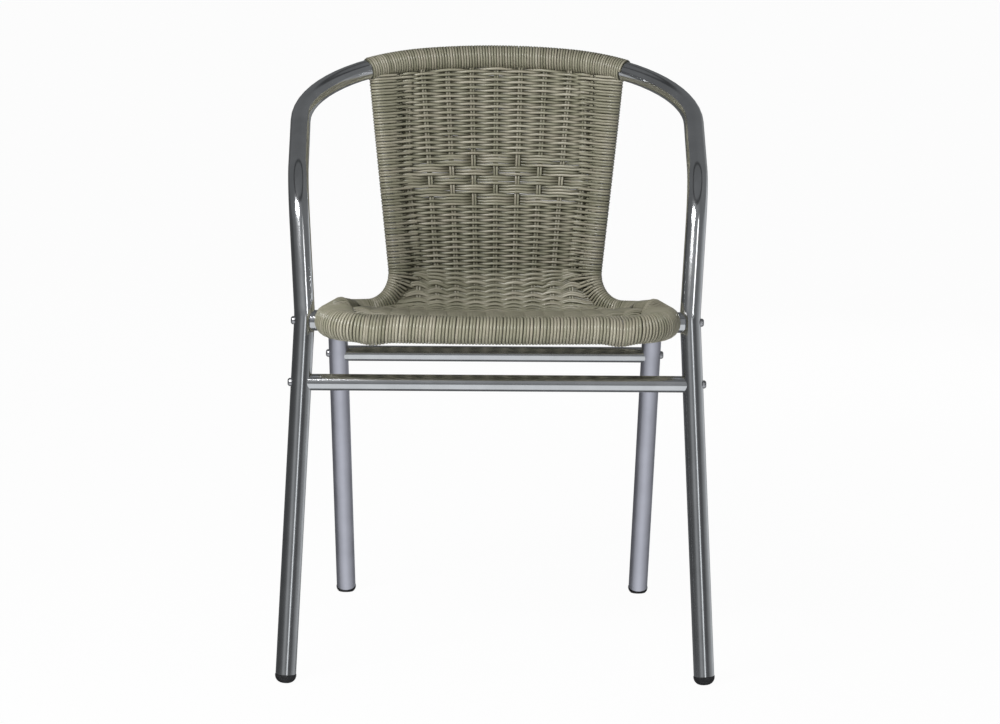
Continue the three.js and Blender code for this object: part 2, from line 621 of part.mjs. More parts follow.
// Woven skin: rows run across from rim to rim, columns run down the back and on over the seat
const crown = bowPath.at(railLength(0)).point;
const weaveTop = v3(0, crown.y - BACK_HOLLOW, crown.z - grown(TUBE_DIA / 2 + RAIL_WIND, TURN_SIDES) - GAP);
const crease = v3(0, SEAT_DEPTH, SEAT_HEIGHT - CREASE_DROP);
const hoopFront = hoopPath.at(hoopMid).point;
const rimClear = HOOP_DIA / 2 + HOOP_WIND + GAP;
const weaveFront = v3(0, hoopFront.y + rimClear, hoopFront.z);
const middle = new BentPath([weaveTop, crease, weaveFront], [CREASE_BEND]);
const creaseStart = middle.lengths[1];
const creaseEnd = middle.lengths[middle.steps - 1];
const hoopCreaseStart = hoopPath.lengths[1];
const hoopCreaseEnd = find(hoopPath, (p) => p.y - (SEAT_DEPTH - HOOP_SIDE_AHEAD - HOOP_SIDE_BEND));
const hoopWeaveEnd = find(hoopPath, (p) => p.y - (hoopFront.y + rimClear + FRONT_BOW));
const topRowEnd = hoopTopGap + HOOP_DIA / 2;

// a row: its middle point, its right-hand end on the rim and the distance between its stakes
function rowAt(zone, share) {
  const [m0, m1, h0, h1, s0, s1] = {
    back: [0, creaseStart, topRowEnd, hoopCreaseStart, STAKE_TOP, STAKE_LOW],
    crease: [creaseStart, creaseEnd, hoopCreaseStart, hoopCreaseEnd, STAKE_LOW, STAKE_LOW],
    seat: [creaseEnd, middle.length, hoopCreaseEnd, hoopWeaveEnd, STAKE_LOW, STAKE_FRONT],
  }[zone];
  const mid = middle.at(m0 + (m1 - m0) * share).point;
  const rim = hoopPath.at(h0 + (h1 - h0) * share);
  const inward = mid.clone().sub(rim.point);
  inward.addScaledVector(rim.tangent, -inward.dot(rim.tangent)).normalize();
  return { mid, end: rim.point.clone().addScaledVector(inward, rimClear), pitch: s0 + (s1 - s0) * share };
}

// How far out a stake lies on a row. The stakes of the back go straight on over the seat, and the
// ones that only the seat has share the room that is left beside them.
function stakeOut({ end, pitch }, k) {
  const inner = Math.min(pitch, end.x / (BACK_STAKES + 1 / 2));
  if (k <= BACK_STAKES) return k * inner;
  const left = (end.x - BACK_STAKES * inner) / (STAKES - BACK_STAKES + 1 / 2);
  return BACK_STAKES * inner + (k - BACK_STAKES) * Math.min(pitch, left);
}

// columns of a row from the middle to the rim: stake, dip, stake ... each with its place across
// and half the thickness of the weave there, which grows with the room between the stakes
function columns(row, stakes) {
  const places = spread(0, stakes, 2 * stakes).map((k, i) => {
    const room = Math.min(1, (stakeOut(row, Math.ceil(k) + 1) - stakeOut(row, Math.ceil(k))) / row.pitch);
    const rib = i % 2 === 0 ? (WEAVE_RIB - WEAVE_THIN) * room : 0;
    return { x: stakeOut(row, k), half: (WEAVE_THIN + rib) / 2 };
  });
  return [...places, { x: row.end.x, half: WEAVE_THIN / 2 }];
}

// how much of a row's sag is left at a distance from the middle: an arch over the back's stakes,
// then straight on to the rim
function sagAt(row, x) {
  const outer = stakeOut(row, BACK_STAKES);
  const arch = 1 - (Math.min(Math.abs(x), outer) / row.end.x) ** 2;
  return Math.abs(x) <= outer ? arch : (arch * (row.end.x - Math.abs(x))) / (row.end.x - outer);
}

// the skin over rows; a lead-in or lead-out row only sets which way the last one faces
function weaveSkin(rows, stakes, leadIn, leadOut) {
  const sides = rows.map((row) => columns(row, stakes));
  const leftOf = (right) => right.slice(1).reverse().map(({ x, half }) => ({ x: -x, half }));
  const places = sides.map((right) => [...leftOf(right), ...right]);
  const across = places[0].length - 1;
  const grid = rows.map((row, i) => places[i].map(({ x }) => {
    const point = between(row.end, row.mid, sagAt(row, x));
    return v3(x, point.y, point.z);
  }));
  const normal = (i, k) => {
    const down = grid[Math.min(i + 1, grid.length - 1)][k].clone().sub(grid[Math.max(i - 1, 0)][k]);
    const side = grid[i][Math.min(k + 1, across)].clone().sub(grid[i][Math.max(k - 1, 0)]);
    return side.cross(down).normalize();
  };
  const rings = grid.map((row, i) => {
    const front = row.map((p, k) => p.clone().addScaledVector(normal(i, k), places[i][k].half));
    const rear = row.map((p, k) => p.clone().addScaledVector(normal(i, k), -places[i][k].half));
    return [...front, ...rear.reverse()];
  });
  return skin(rings.slice(leadIn, rings.length - leadOut));
}

const splitShare = 0.5;
const leadShare = 0.15;
const splitGapShare = SPLIT_GAP / (creaseEnd - creaseStart);
const backRows = [...spread(0, 1, 2).map((t) => rowAt('back', t)),
  ...spread(0, splitShare - splitGapShare, 3).slice(1).map((t) => rowAt('crease', t)),
  rowAt('crease', splitShare + leadShare)];
const seatRows = [rowAt('crease', splitShare - leadShare),
  ...spread(splitShare + splitGapShare, 1, 3).map((t) => rowAt('crease', t)),
  ...spread(0, 1, 4).slice(1).map((t) => rowAt('seat', t))];

const rimCore = rod(hoopPath, 2 * grown(HOOP_DIA / 2 + HOOP_WIND + GAP, WIND_SIDES), WIND_SIDES);
const backWeave = asSolid(weaveSkin(backRows, BACK_STAKES, 0, 1)).subtract(rimCore);
const fullSeatWeave = asSolid(weaveSkin(seatRows, STAKES, 1, 0));
const seatWeave = both(fullSeatWeave.subtract(rimCore).subtract(rollRoom), side.room);

// Materials, one for each mesh
const look = (color, roughness, metalness) => () =>
  new THREE.MeshStandardMaterial({ color, roughness, metalness });
const polished = look(0xb4b6ba, 0.22, 1);
const satin = look(0xb3b2bd, 0.42, 1);
const steel = look(0x8e9094, 0.3, 1);
const rubber = look(0x141414, 0.7, 0);
const nylon = look(0x1d1d1f, 0.55, 0);
const cane = look(0x8f8b76, 0.6, 0);

const chair = new THREE.Group();
function place(name, geometry, material) {
  const mesh = new THREE.Mesh(geometry, material());
  mesh.name = name;
  chair.add(mesh);
}
function pair(name, solid, material) {
  place(`${name}_right`, asGeometry(solid), material);
  place(`${name}_left`, asGeometry(flipX(solid)), material);
}

place('bow_tube', asGeometry(bowTube), polished);
place('seat_tube', asGeometry(seatTube), satin);
place('hoop_tube', asGeometry(hoopTube), satin);
pair('seat_spacer', spacer, satin);
place('front_stretcher', asGeometry(frontBar), polished);
place('rear_stretcher', asGeometry(rearBar), satin);
pair('front_stretcher_insert', insert(frontBarAt, bowCore), nylon);
pair('rear_stretcher_insert', insert(rearBarAt, seatCore), nylon);
pair('seat_nut', seatNut(), steel);
pair('seat_bolt', asSolid(bolt(seatBolt, bowCore)), steel);
pair('front_stretcher_bolt', asSolid(bolt(frontBarBolt, bowCore)), steel);
pair('rear_stretcher_bolt', asSolid(bolt(rearBarBolt, seatCore)), steel);
pair('front_foot', asSolid(footPlug(legEnd, legRun.clone().normalize().negate())), rubber);
pair('rear_foot', asSolid(footPlug(rearEnd, rearRun.clone().normalize().negate())), rubber);
place('top_rail_winding', asGeometry(railWinding), cane);
pair('back_rim_winding', backWinding, cane);
pair('seat_side_winding', sideWinding, cane);
place('front_roll_winding', asGeometry(frontRoll), cane);
place('back_weave', asGeometry(backWeave), cane);
place('seat_weave', asGeometry(seatWeave), cane);

// the chair stands over its own middle
const box = new THREE.Box3().setFromObject(chair);
chair.position.y = -(box.min.y + box.max.y) / 2;
chair.updateMatrixWorld(true);

export default chair;
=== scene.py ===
# %% [markdown]
# # A woven bistro armchair
# The real chair is two bent aluminium tubes, a thin hoop, two stretchers and a lot of cane. This
# lesson dresses the plain solids of that chair: every tube is bent again with a smoother section,
# every strand of cane is laid along its own route, and each surface gets a finish of its own.
# Lengths are written in millimetres, as on a drawing, and turned to metres where a mesh is made.

# %% Load the frame
import bpy
import math
import random
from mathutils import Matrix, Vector


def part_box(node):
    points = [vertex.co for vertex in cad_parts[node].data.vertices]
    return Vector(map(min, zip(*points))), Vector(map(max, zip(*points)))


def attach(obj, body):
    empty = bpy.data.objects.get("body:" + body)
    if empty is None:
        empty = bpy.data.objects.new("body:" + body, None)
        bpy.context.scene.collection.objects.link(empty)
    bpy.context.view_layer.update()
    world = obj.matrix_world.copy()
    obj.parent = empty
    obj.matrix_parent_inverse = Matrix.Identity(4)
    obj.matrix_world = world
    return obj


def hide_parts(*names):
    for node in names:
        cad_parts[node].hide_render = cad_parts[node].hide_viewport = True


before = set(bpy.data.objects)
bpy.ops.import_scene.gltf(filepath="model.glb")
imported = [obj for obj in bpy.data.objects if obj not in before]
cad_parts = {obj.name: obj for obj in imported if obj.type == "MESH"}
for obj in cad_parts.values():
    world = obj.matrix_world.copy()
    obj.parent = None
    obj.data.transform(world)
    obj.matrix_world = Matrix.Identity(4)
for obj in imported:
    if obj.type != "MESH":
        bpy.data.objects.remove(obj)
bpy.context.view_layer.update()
MM = 0.001

# %% [markdown]
# ## Sizes
# The chair's drawing. A bent tube is given by its corners and by the radius of the bend at each
# corner, as a tube bender is set. All places are measured from the line between the front feet: x
# to the right of somebody facing the chair, y to the back, z up. TUBE, THIN_TUBE and BAR are radii,
# and a bar's drop is its depth below the seat's height. What is made for the right side is made
# again for the left: Vector copies a point where it is, and mirror copies it across.

# %% Sizes of the frame
SEAT_HEIGHT = 440
SEAT_DEPTH = 401
WAIST = Vector((232, 36, SEAT_HEIGHT + 6.5))
FOOT = Vector((254.5, 0, 0))
ARM = Vector((242, 82, 601))
CORNER = Vector((249.5, 418, 706))
CROWN = Vector((0, 460, 720.5))
BOW_BENDS = [60, 88, 197]
CROWN_BEND = 442
TUBE = 12.5
THIN_TUBE = 8
BAR = 10
PLUG_RISE, REAR_RISE = 11, 7.5
SPACER_SHOW = 5.1
FRONT_BAR_DROP, REAR_BAR_DROP = 74.5, 96


def mirror(p):
    return Vector((-p.x, p.y, p.z))


def meet(a, b, z):
    """Where the line through two points has a given height."""
    return a.lerp(b, (z - a.z) / (b.z - a.z))


SIDES = (("right", Vector), ("left", mirror))
leg_end = meet(FOOT, WAIST, PLUG_RISE)
front_bar_at = meet(FOOT, WAIST, SEAT_HEIGHT - FRONT_BAR_DROP)

# %% [markdown]
# ## Bent routes
# A route is straight runs joined by round bends. The tubes are bent along its pieces, and the cane
# asks it for the point and the direction at a length.

# %% Routes
def halve(holds, low, high, times=24):
    """The place between low and high up to which holds(place) is true."""
    for _ in range(times):
        mid = (low + high) / 2
        if holds(mid):
            low = mid
        else:
            high = mid
    return (low + high) / 2


class Route:
    """Straight runs and round bends through a list of corners."""

    def __init__(self, corners, bends):
        self.pieces = []
        here = corners[0]
        for before, corner, after, radius in zip(corners, corners[1:], corners[2:], bends):
            into = (corner - before).normalized()
            out = (after - corner).normalized()
            turn = into.angle(out)
            start = corner - into * radius * math.tan(turn / 2)
            side = (out - into * out.dot(into)).normalized()
            self.pieces.append(("run", here, into, (start - here).length))
            self.pieces.append(("bend", start, into, side, radius, turn))
            here = corner + out * radius * math.tan(turn / 2)
        last = corners[-1] - here
        self.pieces.append(("run", here, last.normalized(), last.length))
        self.starts = [0]
        for piece in self.pieces:
            size = piece[3] if piece[0] == "run" else piece[4] * piece[5]
            self.starts.append(self.starts[-1] + size)
        self.length = self.starts[-1]

    def at(self, s):
        s = min(max(s, 0), self.length)
        i = 0
        while i < len(self.pieces) - 1 and self.starts[i + 1] < s:
            i += 1
        piece, off = self.pieces[i], s - self.starts[i]
        if piece[0] == "run":
            return piece[1] + piece[2] * off, piece[2].copy()
        start, into, side, radius = piece[1:5]
        a = off / radius
        point = start + into * radius * math.sin(a) + side * radius * (1 - math.cos(a))
        return point, into * math.cos(a) + side * math.sin(a)

    def find(self, test, low, high):
        """The length between two shares of the route at which test(point) changes sign."""
        low, high = low * self.length, high * self.length
        sign = test(self.at(low)[0]) > 0
        return halve(lambda s: (test(self.at(s)[0]) > 0) == sign, low, high, times=36)


def mirrored_route(half, bends, middle, middle_bend):
    """A route whose second half mirrors the first."""
    corners = half + [middle] + [mirror(p) for p in reversed(half)]
    return Route(corners, bends + [middle_bend] + bends[::-1])


bow = mirrored_route([leg_end, WAIST, ARM, CORNER], BOW_BENDS, CROWN, CROWN_BEND)
joint = bow.at(bow.find(lambda p: p.z - SEAT_HEIGHT, 0, 0.3))[0]
bar_box = [Vector(c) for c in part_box("front_stretcher")]
shift_y = sum(c.y for c in bar_box) / 2 / MM - front_bar_at.y
HOME = Vector((0, shift_y, 0))
print(f"bow {bow.length:.0f} mm long, drawing moved {shift_y:.1f} mm along y to its place")

# %% Routes of the seat tube and the hoop
REAR_BEND, SIDE_BEND, NOSE_BEND, FRONT_BEND = 55, 120, 45, 900
REAR_IN, REAR_OUT = 7.3, 79
BEND_AHEAD, BEND_DROP = 66, 47
NOSE_IN, NOSE_OUT, FRONT_OUT = 2.5, 22, 36
side_half = joint.x - 2 * TUBE - SPACER_SHOW
seat_side = Vector((side_half, joint.y, SEAT_HEIGHT))
rear_foot = Vector((side_half - REAR_IN, SEAT_DEPTH + REAR_OUT, 0))
rear_bend = Vector((side_half, SEAT_DEPTH - BEND_AHEAD, SEAT_HEIGHT - BEND_DROP))
nose = Vector((side_half - NOSE_IN, -NOSE_OUT, SEAT_HEIGHT))
front_mid = Vector((0, -FRONT_OUT, SEAT_HEIGHT))
rear_run = rear_bend - rear_foot
rear_end = rear_foot + rear_run * (REAR_RISE / rear_run.z)
seat = mirrored_route([rear_end, rear_bend, seat_side, nose],
                      [REAR_BEND, SIDE_BEND, NOSE_BEND], front_mid, FRONT_BEND)

HOOP_GAP = 1.7
HOOP_REACH = TUBE + THIN_TUBE + HOOP_GAP
HOOP_TOP_INSET, HOOP_LOW_INSET = 46.9, 78.9
HOOP_LOW_AHEAD, HOOP_LOW_DROP, HOOP_LANDS = 11, 40, 49
HOOP_BENDS = [44, 36, 30]
BACK_TILT, SIDE_TILT, NOSE_TILT = 38, 53, 8


def lean_on(point, tilt, in_x, in_y):
    """Where the hoop's centre lies beside the seat tube, tilt degrees above level, further in."""
    a = math.radians(tilt)
    level = HOOP_REACH * math.cos(a)
    return point + Vector((in_x * level, in_y * level, HOOP_REACH * math.sin(a)))


def on_side(y):
    """The point of the seat tube's sloping side at a depth."""
    return rear_bend.lerp(seat_side, (rear_bend.y - y) / (rear_bend.y - joint.y))


def rail_length(x):
    """How far along the bow its top rail is x to the right."""
    return bow.find(lambda p: p.x - x, 0.3, 0.7)


hoop_top = bow.at(rail_length(side_half - HOOP_TOP_INSET))[0]
hoop_low = Vector((side_half - HOOP_LOW_INSET, SEAT_DEPTH - HOOP_LOW_AHEAD,
                   SEAT_HEIGHT - HOOP_LOW_DROP))
hoop_half = [hoop_top, hoop_low, lean_on(on_side(SEAT_DEPTH - HOOP_LANDS), BACK_TILT, -1, 0),
             lean_on(seat_side, SIDE_TILT, -1, 0), lean_on(nose, NOSE_TILT, -1, 1)]
hoop_nose_bend = NOSE_BEND - HOOP_REACH * math.cos(math.radians(NOSE_TILT))
hoop = mirrored_route(hoop_half, HOOP_BENDS + [hoop_nose_bend],
                      lean_on(front_mid, NOSE_TILT, 0, 1), FRONT_BEND)

# %% [markdown]
# ## The camera
# The photograph was taken with a long lens from four and a half metres, half a metre above the back
# and looking down by ten degrees. The camera stands a little left of the chair's middle, which is
# why the back seems to sit a touch left of the front legs.

# %% Camera
LENS, SENSOR = 137.56, 36
SHIFT = -0.0029
CAMERA_AT = Vector((-46, -4500, 1203))
PITCH_DOWN, ROLL = 10.157, -0.46
CAMERA_TURN = (90 - PITCH_DOWN, ROLL, math.degrees(math.atan2(CAMERA_AT.x, -CAMERA_AT.y)))
camera_data = bpy.data.cameras.new("photo_camera")
camera_data.lens = LENS
camera_data.sensor_width = SENSOR
camera_data.shift_x = SHIFT
camera = bpy.data.objects.new("photo_camera", camera_data)
camera.location = (CAMERA_AT + HOME) * MM
camera.rotation_euler = [math.radians(a) for a in CAMERA_TURN]
bpy.context.collection.objects.link(camera)
bpy.context.scene.camera = camera

# %% [markdown]
# ## Working by hand, in code
# Each new piece starts as a primitive and is shaped in edit mode. The helpers do what a hand
# would: let go of everything, add a circle or cylinder where it belongs, and leave the finished
# mesh on the world's origin, with its place in its vertices.

# %% Modelling helpers
SMOOTH_BELOW = math.radians(35)
SAME_SPOT = 0.00001


def let_go():
    if bpy.context.object and bpy.context.object.mode != "OBJECT":
        bpy.ops.object.mode_set(mode="OBJECT")
    bpy.ops.object.select_all(action="DESELECT")


def settle(name):
    """Name the active piece, apply its place and smooth it."""
    let_go()
    piece = bpy.context.object
    piece.select_set(True)
    piece.name = piece.data.name = name
    bpy.ops.object.transform_apply()
    bpy.ops.object.shade_smooth_by_angle(angle=SMOOTH_BELOW)
    return piece


def begin(primitive_add, at, along, **shape):
    """A circle or cylinder set across a direction, in edit mode, with all of it selected."""
    let_go()
    primitive_add(location=(at + HOME) * MM, rotation=along.to_track_quat("Z", "Y").to_euler(),
                  **shape)
    bpy.ops.object.transform_apply()
    bpy.ops.object.mode_set(mode="EDIT")
    bpy.ops.mesh.select_all(action="SELECT")


def ring(radius, sides, at, along):
    """The open circle that a tube starts from."""
    begin(bpy.ops.mesh.primitive_circle_add, at, along, vertices=sides, radius=radius * MM)


def close_ends():
    """Fill the two open ends and turn all faces outward."""
    bpy.ops.mesh.select_all(action="DESELECT")
    bpy.ops.mesh.select_non_manifold(extend=False, use_wire=False, use_multi_face=False,
                                     use_non_contiguous=False, use_verts=False)
    bpy.ops.mesh.edge_face_add()
    bpy.ops.mesh.select_all(action="SELECT")
    bpy.ops.mesh.normals_make_consistent()


def pick_faces(wanted):
    """Select the faces whose centre and normal satisfy a test."""
    bpy.ops.mesh.select_mode(type="FACE")
    bpy.ops.mesh.select_all(action="DESELECT")
    bpy.ops.object.mode_set(mode="OBJECT")
    for face in bpy.context.object.data.polygons:
        face.select = wanted(face.center, face.normal)
    bpy.ops.object.mode_set(mode="EDIT")


def bend_tube(name, route, radius, sides=40, step=5):
    """Push a circle along each straight run and spin it round each bend, a step being in degrees.
    The spin tool counts its angle the other way round the axis, so the turn is negative."""
    start, along = route.at(0)
    ring(radius, sides, start, along)
    for piece in route.pieces:
        if piece[0] == "run":
            if piece[3] > 0.01:
                bpy.ops.mesh.extrude_edges_move(
                    TRANSFORM_OT_translate={"value": piece[2] * piece[3] * MM})
        else:
            first, into, side, bend, turn = piece[1:]
            steps = max(2, round(math.degrees(turn) / step))
            bpy.ops.mesh.spin(steps=steps, angle=-turn,
                              center=(first + side * bend + HOME) * MM, axis=into.cross(side))
    bpy.ops.mesh.select_all(action="SELECT")
    bpy.ops.mesh.remove_doubles(threshold=SAME_SPOT)
    close_ends()
    return settle(name)


# %% [markdown]
# ## The tubes
# A tube bender pushes the tube straight and swings it round a former, and the model is made the
# same way: the circle is extruded along a run and spun round the bend's own centre, so that every
# bend is a real arc with the radius that was set.

# %% Bow, seat tube and hoop
bow_tube = bend_tube("bow", bow, TUBE)
seat_tube = bend_tube("seat_frame", seat, TUBE)
hoop_tube = bend_tube("weave_hoop", hoop, THIN_TUBE, sides=24)

# %% Stretchers
COPE = 7
INWARD = Vector((-1, 0, 0))


def straight(name, a, b, radius, sides=36):
    """A straight tube from one point to another."""
    along = (b - a).normalized()
    ring(radius, sides, a, along)
    bpy.ops.mesh.extrude_edges_move(TRANSFORM_OT_translate={"value": (b - a) * MM})
    close_ends()
    return settle(name)


def stretcher(name, at):
    """A bar between two legs. It starts COPE inward of the leg's middle, hidden by the leg."""
    end = at + INWARD * COPE
    return straight(name, end, mirror(end), BAR)


rear_bar_at = meet(rear_foot, rear_bend, SEAT_HEIGHT - REAR_BAR_DROP)
front_bar = stretcher("front_bar", front_bar_at)
rear_bar = stretcher("rear_bar", rear_bar_at)

# %% [markdown]
# ## Spacers, bolts and feet
# A spacer is a short piece of tube between the front leg and the seat tube. A bolt runs through
# the leg into it. Its head is a cylinder whose top edge is bevelled into a dome. A foot is a plug
# with a lip round the tube's end and a rounded bottom, worn flat where it stands.

# %% Spacers
spacers = {}
for side, flip in SIDES:
    outer_end, inner_end = joint + INWARD * COPE, seat_side - INWARD * COPE
    spacers[side] = straight("spacer_" + side, flip(outer_end), flip(inner_end), TUBE)

# %% Bolts
HEAD, HEAD_ROUND = 5.0, 2.9
HEAD_RISE, HEAD_SUNK = 3.8, 0.8
KEY_RIM, KEY_DEPTH = 0.5, 1.6


def domed_bolt(name, on_leg, outward):
    """A dome head on the outside of a leg, with a recess for the key."""
    height = HEAD_RISE + HEAD_SUNK
    base = on_leg + outward * (TUBE - HEAD_SUNK)
    tip = (base + outward * height + HOME) * MM
    begin(bpy.ops.mesh.primitive_cylinder_add, base + outward * height / 2, outward,
          vertices=28, radius=HEAD * MM, depth=height * MM)
    pick_faces(lambda c, n: n.dot(outward) > 0.9)
    bpy.ops.mesh.bevel(offset=HEAD_ROUND * MM, segments=5, affect="EDGES")
    pick_faces(lambda c, n: n.dot(outward) > 0.999 and (c - tip).length < 3 * MM)
    bpy.ops.mesh.inset(thickness=KEY_RIM * MM)
    bpy.ops.mesh.extrude_region_move(TRANSFORM_OT_translate={"value": -outward * KEY_DEPTH * MM})
    return settle(name)


bolts = {}
for side, flip in SIDES:
    for node, name, at in (("seat_bolt_", "seat_screw_", joint),
                           ("front_stretcher_bolt_", "front_screw_", front_bar_at),
                           ("rear_stretcher_bolt_", "rear_screw_", rear_bar_at)):
        bolts[node + side] = domed_bolt(name + side, flip(at), flip(-INWARD))

# %% Feet
PLUG_LIP, PLUG_LENGTH = 0.5, 24
SPARE_RISE, STRAIGHT_RISE, TOP_ROUND = 0.2, 1.5, 0.7


def foot_plug(name, end, down, rise):
    """A cap over a tube's end, with a dome whose bottom is worn flat rise below the end."""
    begin(bpy.ops.mesh.primitive_cylinder_add, end + down * PLUG_LENGTH / 2, -down,
          vertices=40, radius=(TUBE + PLUG_LIP) * MM, depth=PLUG_LENGTH * MM)
    bpy.ops.mesh.bisect(plane_co=(end + down * (rise + SPARE_RISE) + HOME) * MM, plane_no=down,
                        use_fill=True, clear_outer=True)
    pick_faces(lambda c, n: n.dot(down) > 0.9)
    bpy.ops.mesh.bevel(offset=(rise - STRAIGHT_RISE) * MM, segments=8, affect="EDGES")
    pick_faces(lambda c, n: n.dot(down) < -0.9)
    bpy.ops.mesh.bevel(offset=TOP_ROUND * MM, segments=2, affect="EDGES")
    bpy.ops.mesh.select_all(action="SELECT")
    bpy.ops.mesh.bisect(plane_co=(0, 0, 0), plane_no=(0, 0, -1), use_fill=True, clear_outer=True)
    return settle(name)


feet = {}
leg_down = (FOOT - WAIST).normalized()
rear_down = (rear_foot - rear_bend).normalized()
for side, flip in SIDES:
    for place, end, down, rise in (("front", leg_end, leg_down, PLUG_RISE),
                                   ("rear", rear_end, rear_down, REAR_RISE)):
        plug = foot_plug(place + "_cap_" + side, flip(end), flip(down), rise)
        feet[place + "_foot_" + side] = plug

# %% [markdown]
# ## A strand of cane
# The cane is a plastic strand a little wider than it is thick. Its section is a circle squashed in
# edit mode, and it is carried along each strand's route with its flat side against what the strand
# lies on.

# %% The strand's section and how it is carried
STRAND_SIDES = 8


def glide(t):
    """From 0 to 1, slow at both ends."""
    return t * t * (3 - 2 * t)


def strand_section(width, thick):
    """Corner offsets (across, out) of a strand, from a circle squashed in edit mode."""
    let_go()
    bpy.ops.mesh.primitive_circle_add(vertices=STRAND_SIDES, radius=0.5)
    bpy.ops.object.mode_set(mode="EDIT")
    bpy.ops.transform.resize(value=(width, thick, 1))
    bpy.ops.object.mode_set(mode="OBJECT")
    circle = bpy.context.object
    corners = [(v.co.x, v.co.y) for v in circle.data.vertices]
    bpy.data.objects.remove(circle)
    return corners


class Cane:
    """Collects strands and turns them into one mesh, with a tint along each strand."""

    def __init__(self, width, thick, seed):
        self.section = strand_section(width, thick)
        self.half_width = width / 2
        self.points, self.faces, self.tints, self.flanks, self.depths = [], [], [], [], []
        self.chance = random.Random(seed)

    def lay(self, route, outs, tints=None, depths=None, swells=None):
        """One strand along a list of points, with the way out of the surface at each point, how deep
        the strand lies there behind its neighbours, from 0 to 1, and how much thicker it is there."""
        tint = self.chance.random()
        base, n = len(self.points), len(route)
        for i, (p, out) in enumerate(zip(route, outs)):
            along = (route[min(i + 1, n - 1)] - route[max(i - 1, 0)]).normalized()
            across = along.cross(out).normalized()
            up = across.cross(along)
            swell = swells[i] if swells else 1.0
            for a, b in self.section:
                self.points.append((p + (across * a + up * b) * swell + HOME) * MM)
                self.flanks.append(abs(a) / self.half_width)
            self.tints.extend([tints[i] if tints else tint] * STRAND_SIDES)
            self.depths.extend([depths[i] if depths else 0.0] * STRAND_SIDES)
        for i in range(n - 1):
            row = base + i * STRAND_SIDES
            for k in range(STRAND_SIDES):
                j = (k + 1) % STRAND_SIDES
                self.faces.append((row + k, row + j, row + STRAND_SIDES + j, row + STRAND_SIDES + k))
        self.faces.append(tuple(base + k for k in reversed(range(STRAND_SIDES))))
        last = base + (n - 1) * STRAND_SIDES
        self.faces.append(tuple(last + k for k in range(STRAND_SIDES)))

    def drifting(self, count, every):
        """A tint that wanders along a long strand."""
        marks = [self.chance.random() for _ in range(count // every + 2)]
        tints = []
        for i in range(count):
            low, high = marks[i // every:i // every + 2]
            tints.append(low + (high - low) * glide(i % every / every))
        return tints

    def finish(self, name):
        mesh = bpy.data.meshes.new(name)
        mesh.from_pydata(self.points, [], self.faces)
        # flank and depth carry the cane's grime and painted shade to its finish.
        for label, values in (("tint", self.tints), ("flank", self.flanks), ("depth", self.depths)):
            mesh.attributes.new(label, "FLOAT", "POINT").data.foreach_set("value", values)
        piece = bpy.data.objects.new(name, mesh)
        bpy.context.collection.objects.link(piece)
        let_go()
        bpy.context.view_layer.objects.active = piece
        piece.select_set(True)
        bpy.ops.object.mode_set(mode="EDIT")
        bpy.ops.mesh.select_all(action="SELECT")
        bpy.ops.mesh.normals_make_consistent()
        bpy.ops.object.mode_set(mode="OBJECT")
        bpy.ops.object.shade_smooth()
        return piece


# %% [markdown]
# ## Windings
# On the real chair a strand is wound round each rim, turn against turn. Round the top rail it
# holds one tube. Round the seat sides and the front it holds the seat tube and the hoop together,
# so a turn is the shape of a string pulled round two circles.

# %% Rings round one or two tubes
def round_two(first, second, share):
    """A point and outward direction on the outline round two circles (x, y, radius)."""
    dx, dy = second[0] - first[0], second[1] - first[1]
    apart = math.hypot(dx, dy)
    lean = math.atan2(dy, dx)
    edge = math.acos((first[2] - second[2]) / apart)
    run = math.sqrt(apart ** 2 - (first[2] - second[2]) ** 2)
    parts = [(2 * (math.pi - edge) * first[2], "first"), (run, "in"),
             (2 * edge * second[2], "second"), (run, "out")]
    left = (share % 1) * sum(size for size, _ in parts)
    for size, kind in parts:
        if left <= size:
            break
        left -= size
    if kind in ("first", "second"):
        circle = first if kind == "first" else second
        a = (lean + edge if kind == "first" else lean - edge) + left / circle[2]
        return (circle[0] + circle[2] * math.cos(a), circle[1] + circle[2] * math.sin(a)), a
    a = lean - edge if kind == "in" else lean + edge
    start, end = (first, second) if kind == "in" else (second, first)
    reach = math.cos(a), math.sin(a)
    leave = [start[i] + start[2] * reach[i] for i in (0, 1)]
    arrive = [end[i] + end[2] * reach[i] for i in (0, 1)]
    return [p + (q - p) * left / size for p, q in zip(leave, arrive)], a


def wind(cane, route, span, pitch_at, steps, circles_at, wobble=0.0, slant=0.0):
    """Lay one unbroken strand round and round a route. Each turn wobbles a little of its own, and a
    slanting strand leans sideways on its way up."""
    lengths = [span[0]]
    while lengths[-1] < span[1]:
        lengths.append(lengths[-1] + pitch_at(lengths[-1]) / steps)
    points, outs = [], []
    way = Vector((0, 0, 1))
    for j, s in enumerate(lengths):
        point, along = route.at(s)
        way = (way - along * way.dot(along)).normalized()
        side = way.cross(along).normalized()
        if j % steps == 0:
            drift = cane.chance.uniform(-wobble, wobble)
        circles = circles_at(s, point, along, side, way)
        if len(circles) == 1:
            a = 2 * math.pi * j / steps
            spot = (circles[0][2] * math.cos(a), circles[0][2] * math.sin(a))
        else:
            spot, a = round_two(circles[0], circles[1], j / steps)
        lean = drift * math.sin(math.pi * (j % steps) / steps) - slant * spot[1] * abs(along.x)
        points.append(point + side * spot[0] + way * spot[1] + along * lean)
        outs.append(side * math.cos(a) + way * math.sin(a))
    cane.lay(points, outs, cane.drifting(len(points), steps))


# %% [markdown]
# The top rail first: one tube, ninety-five turns, each a little over three and a half millimetres
# wide. The winding runs on past the hoop's end by RAIL_PAST.

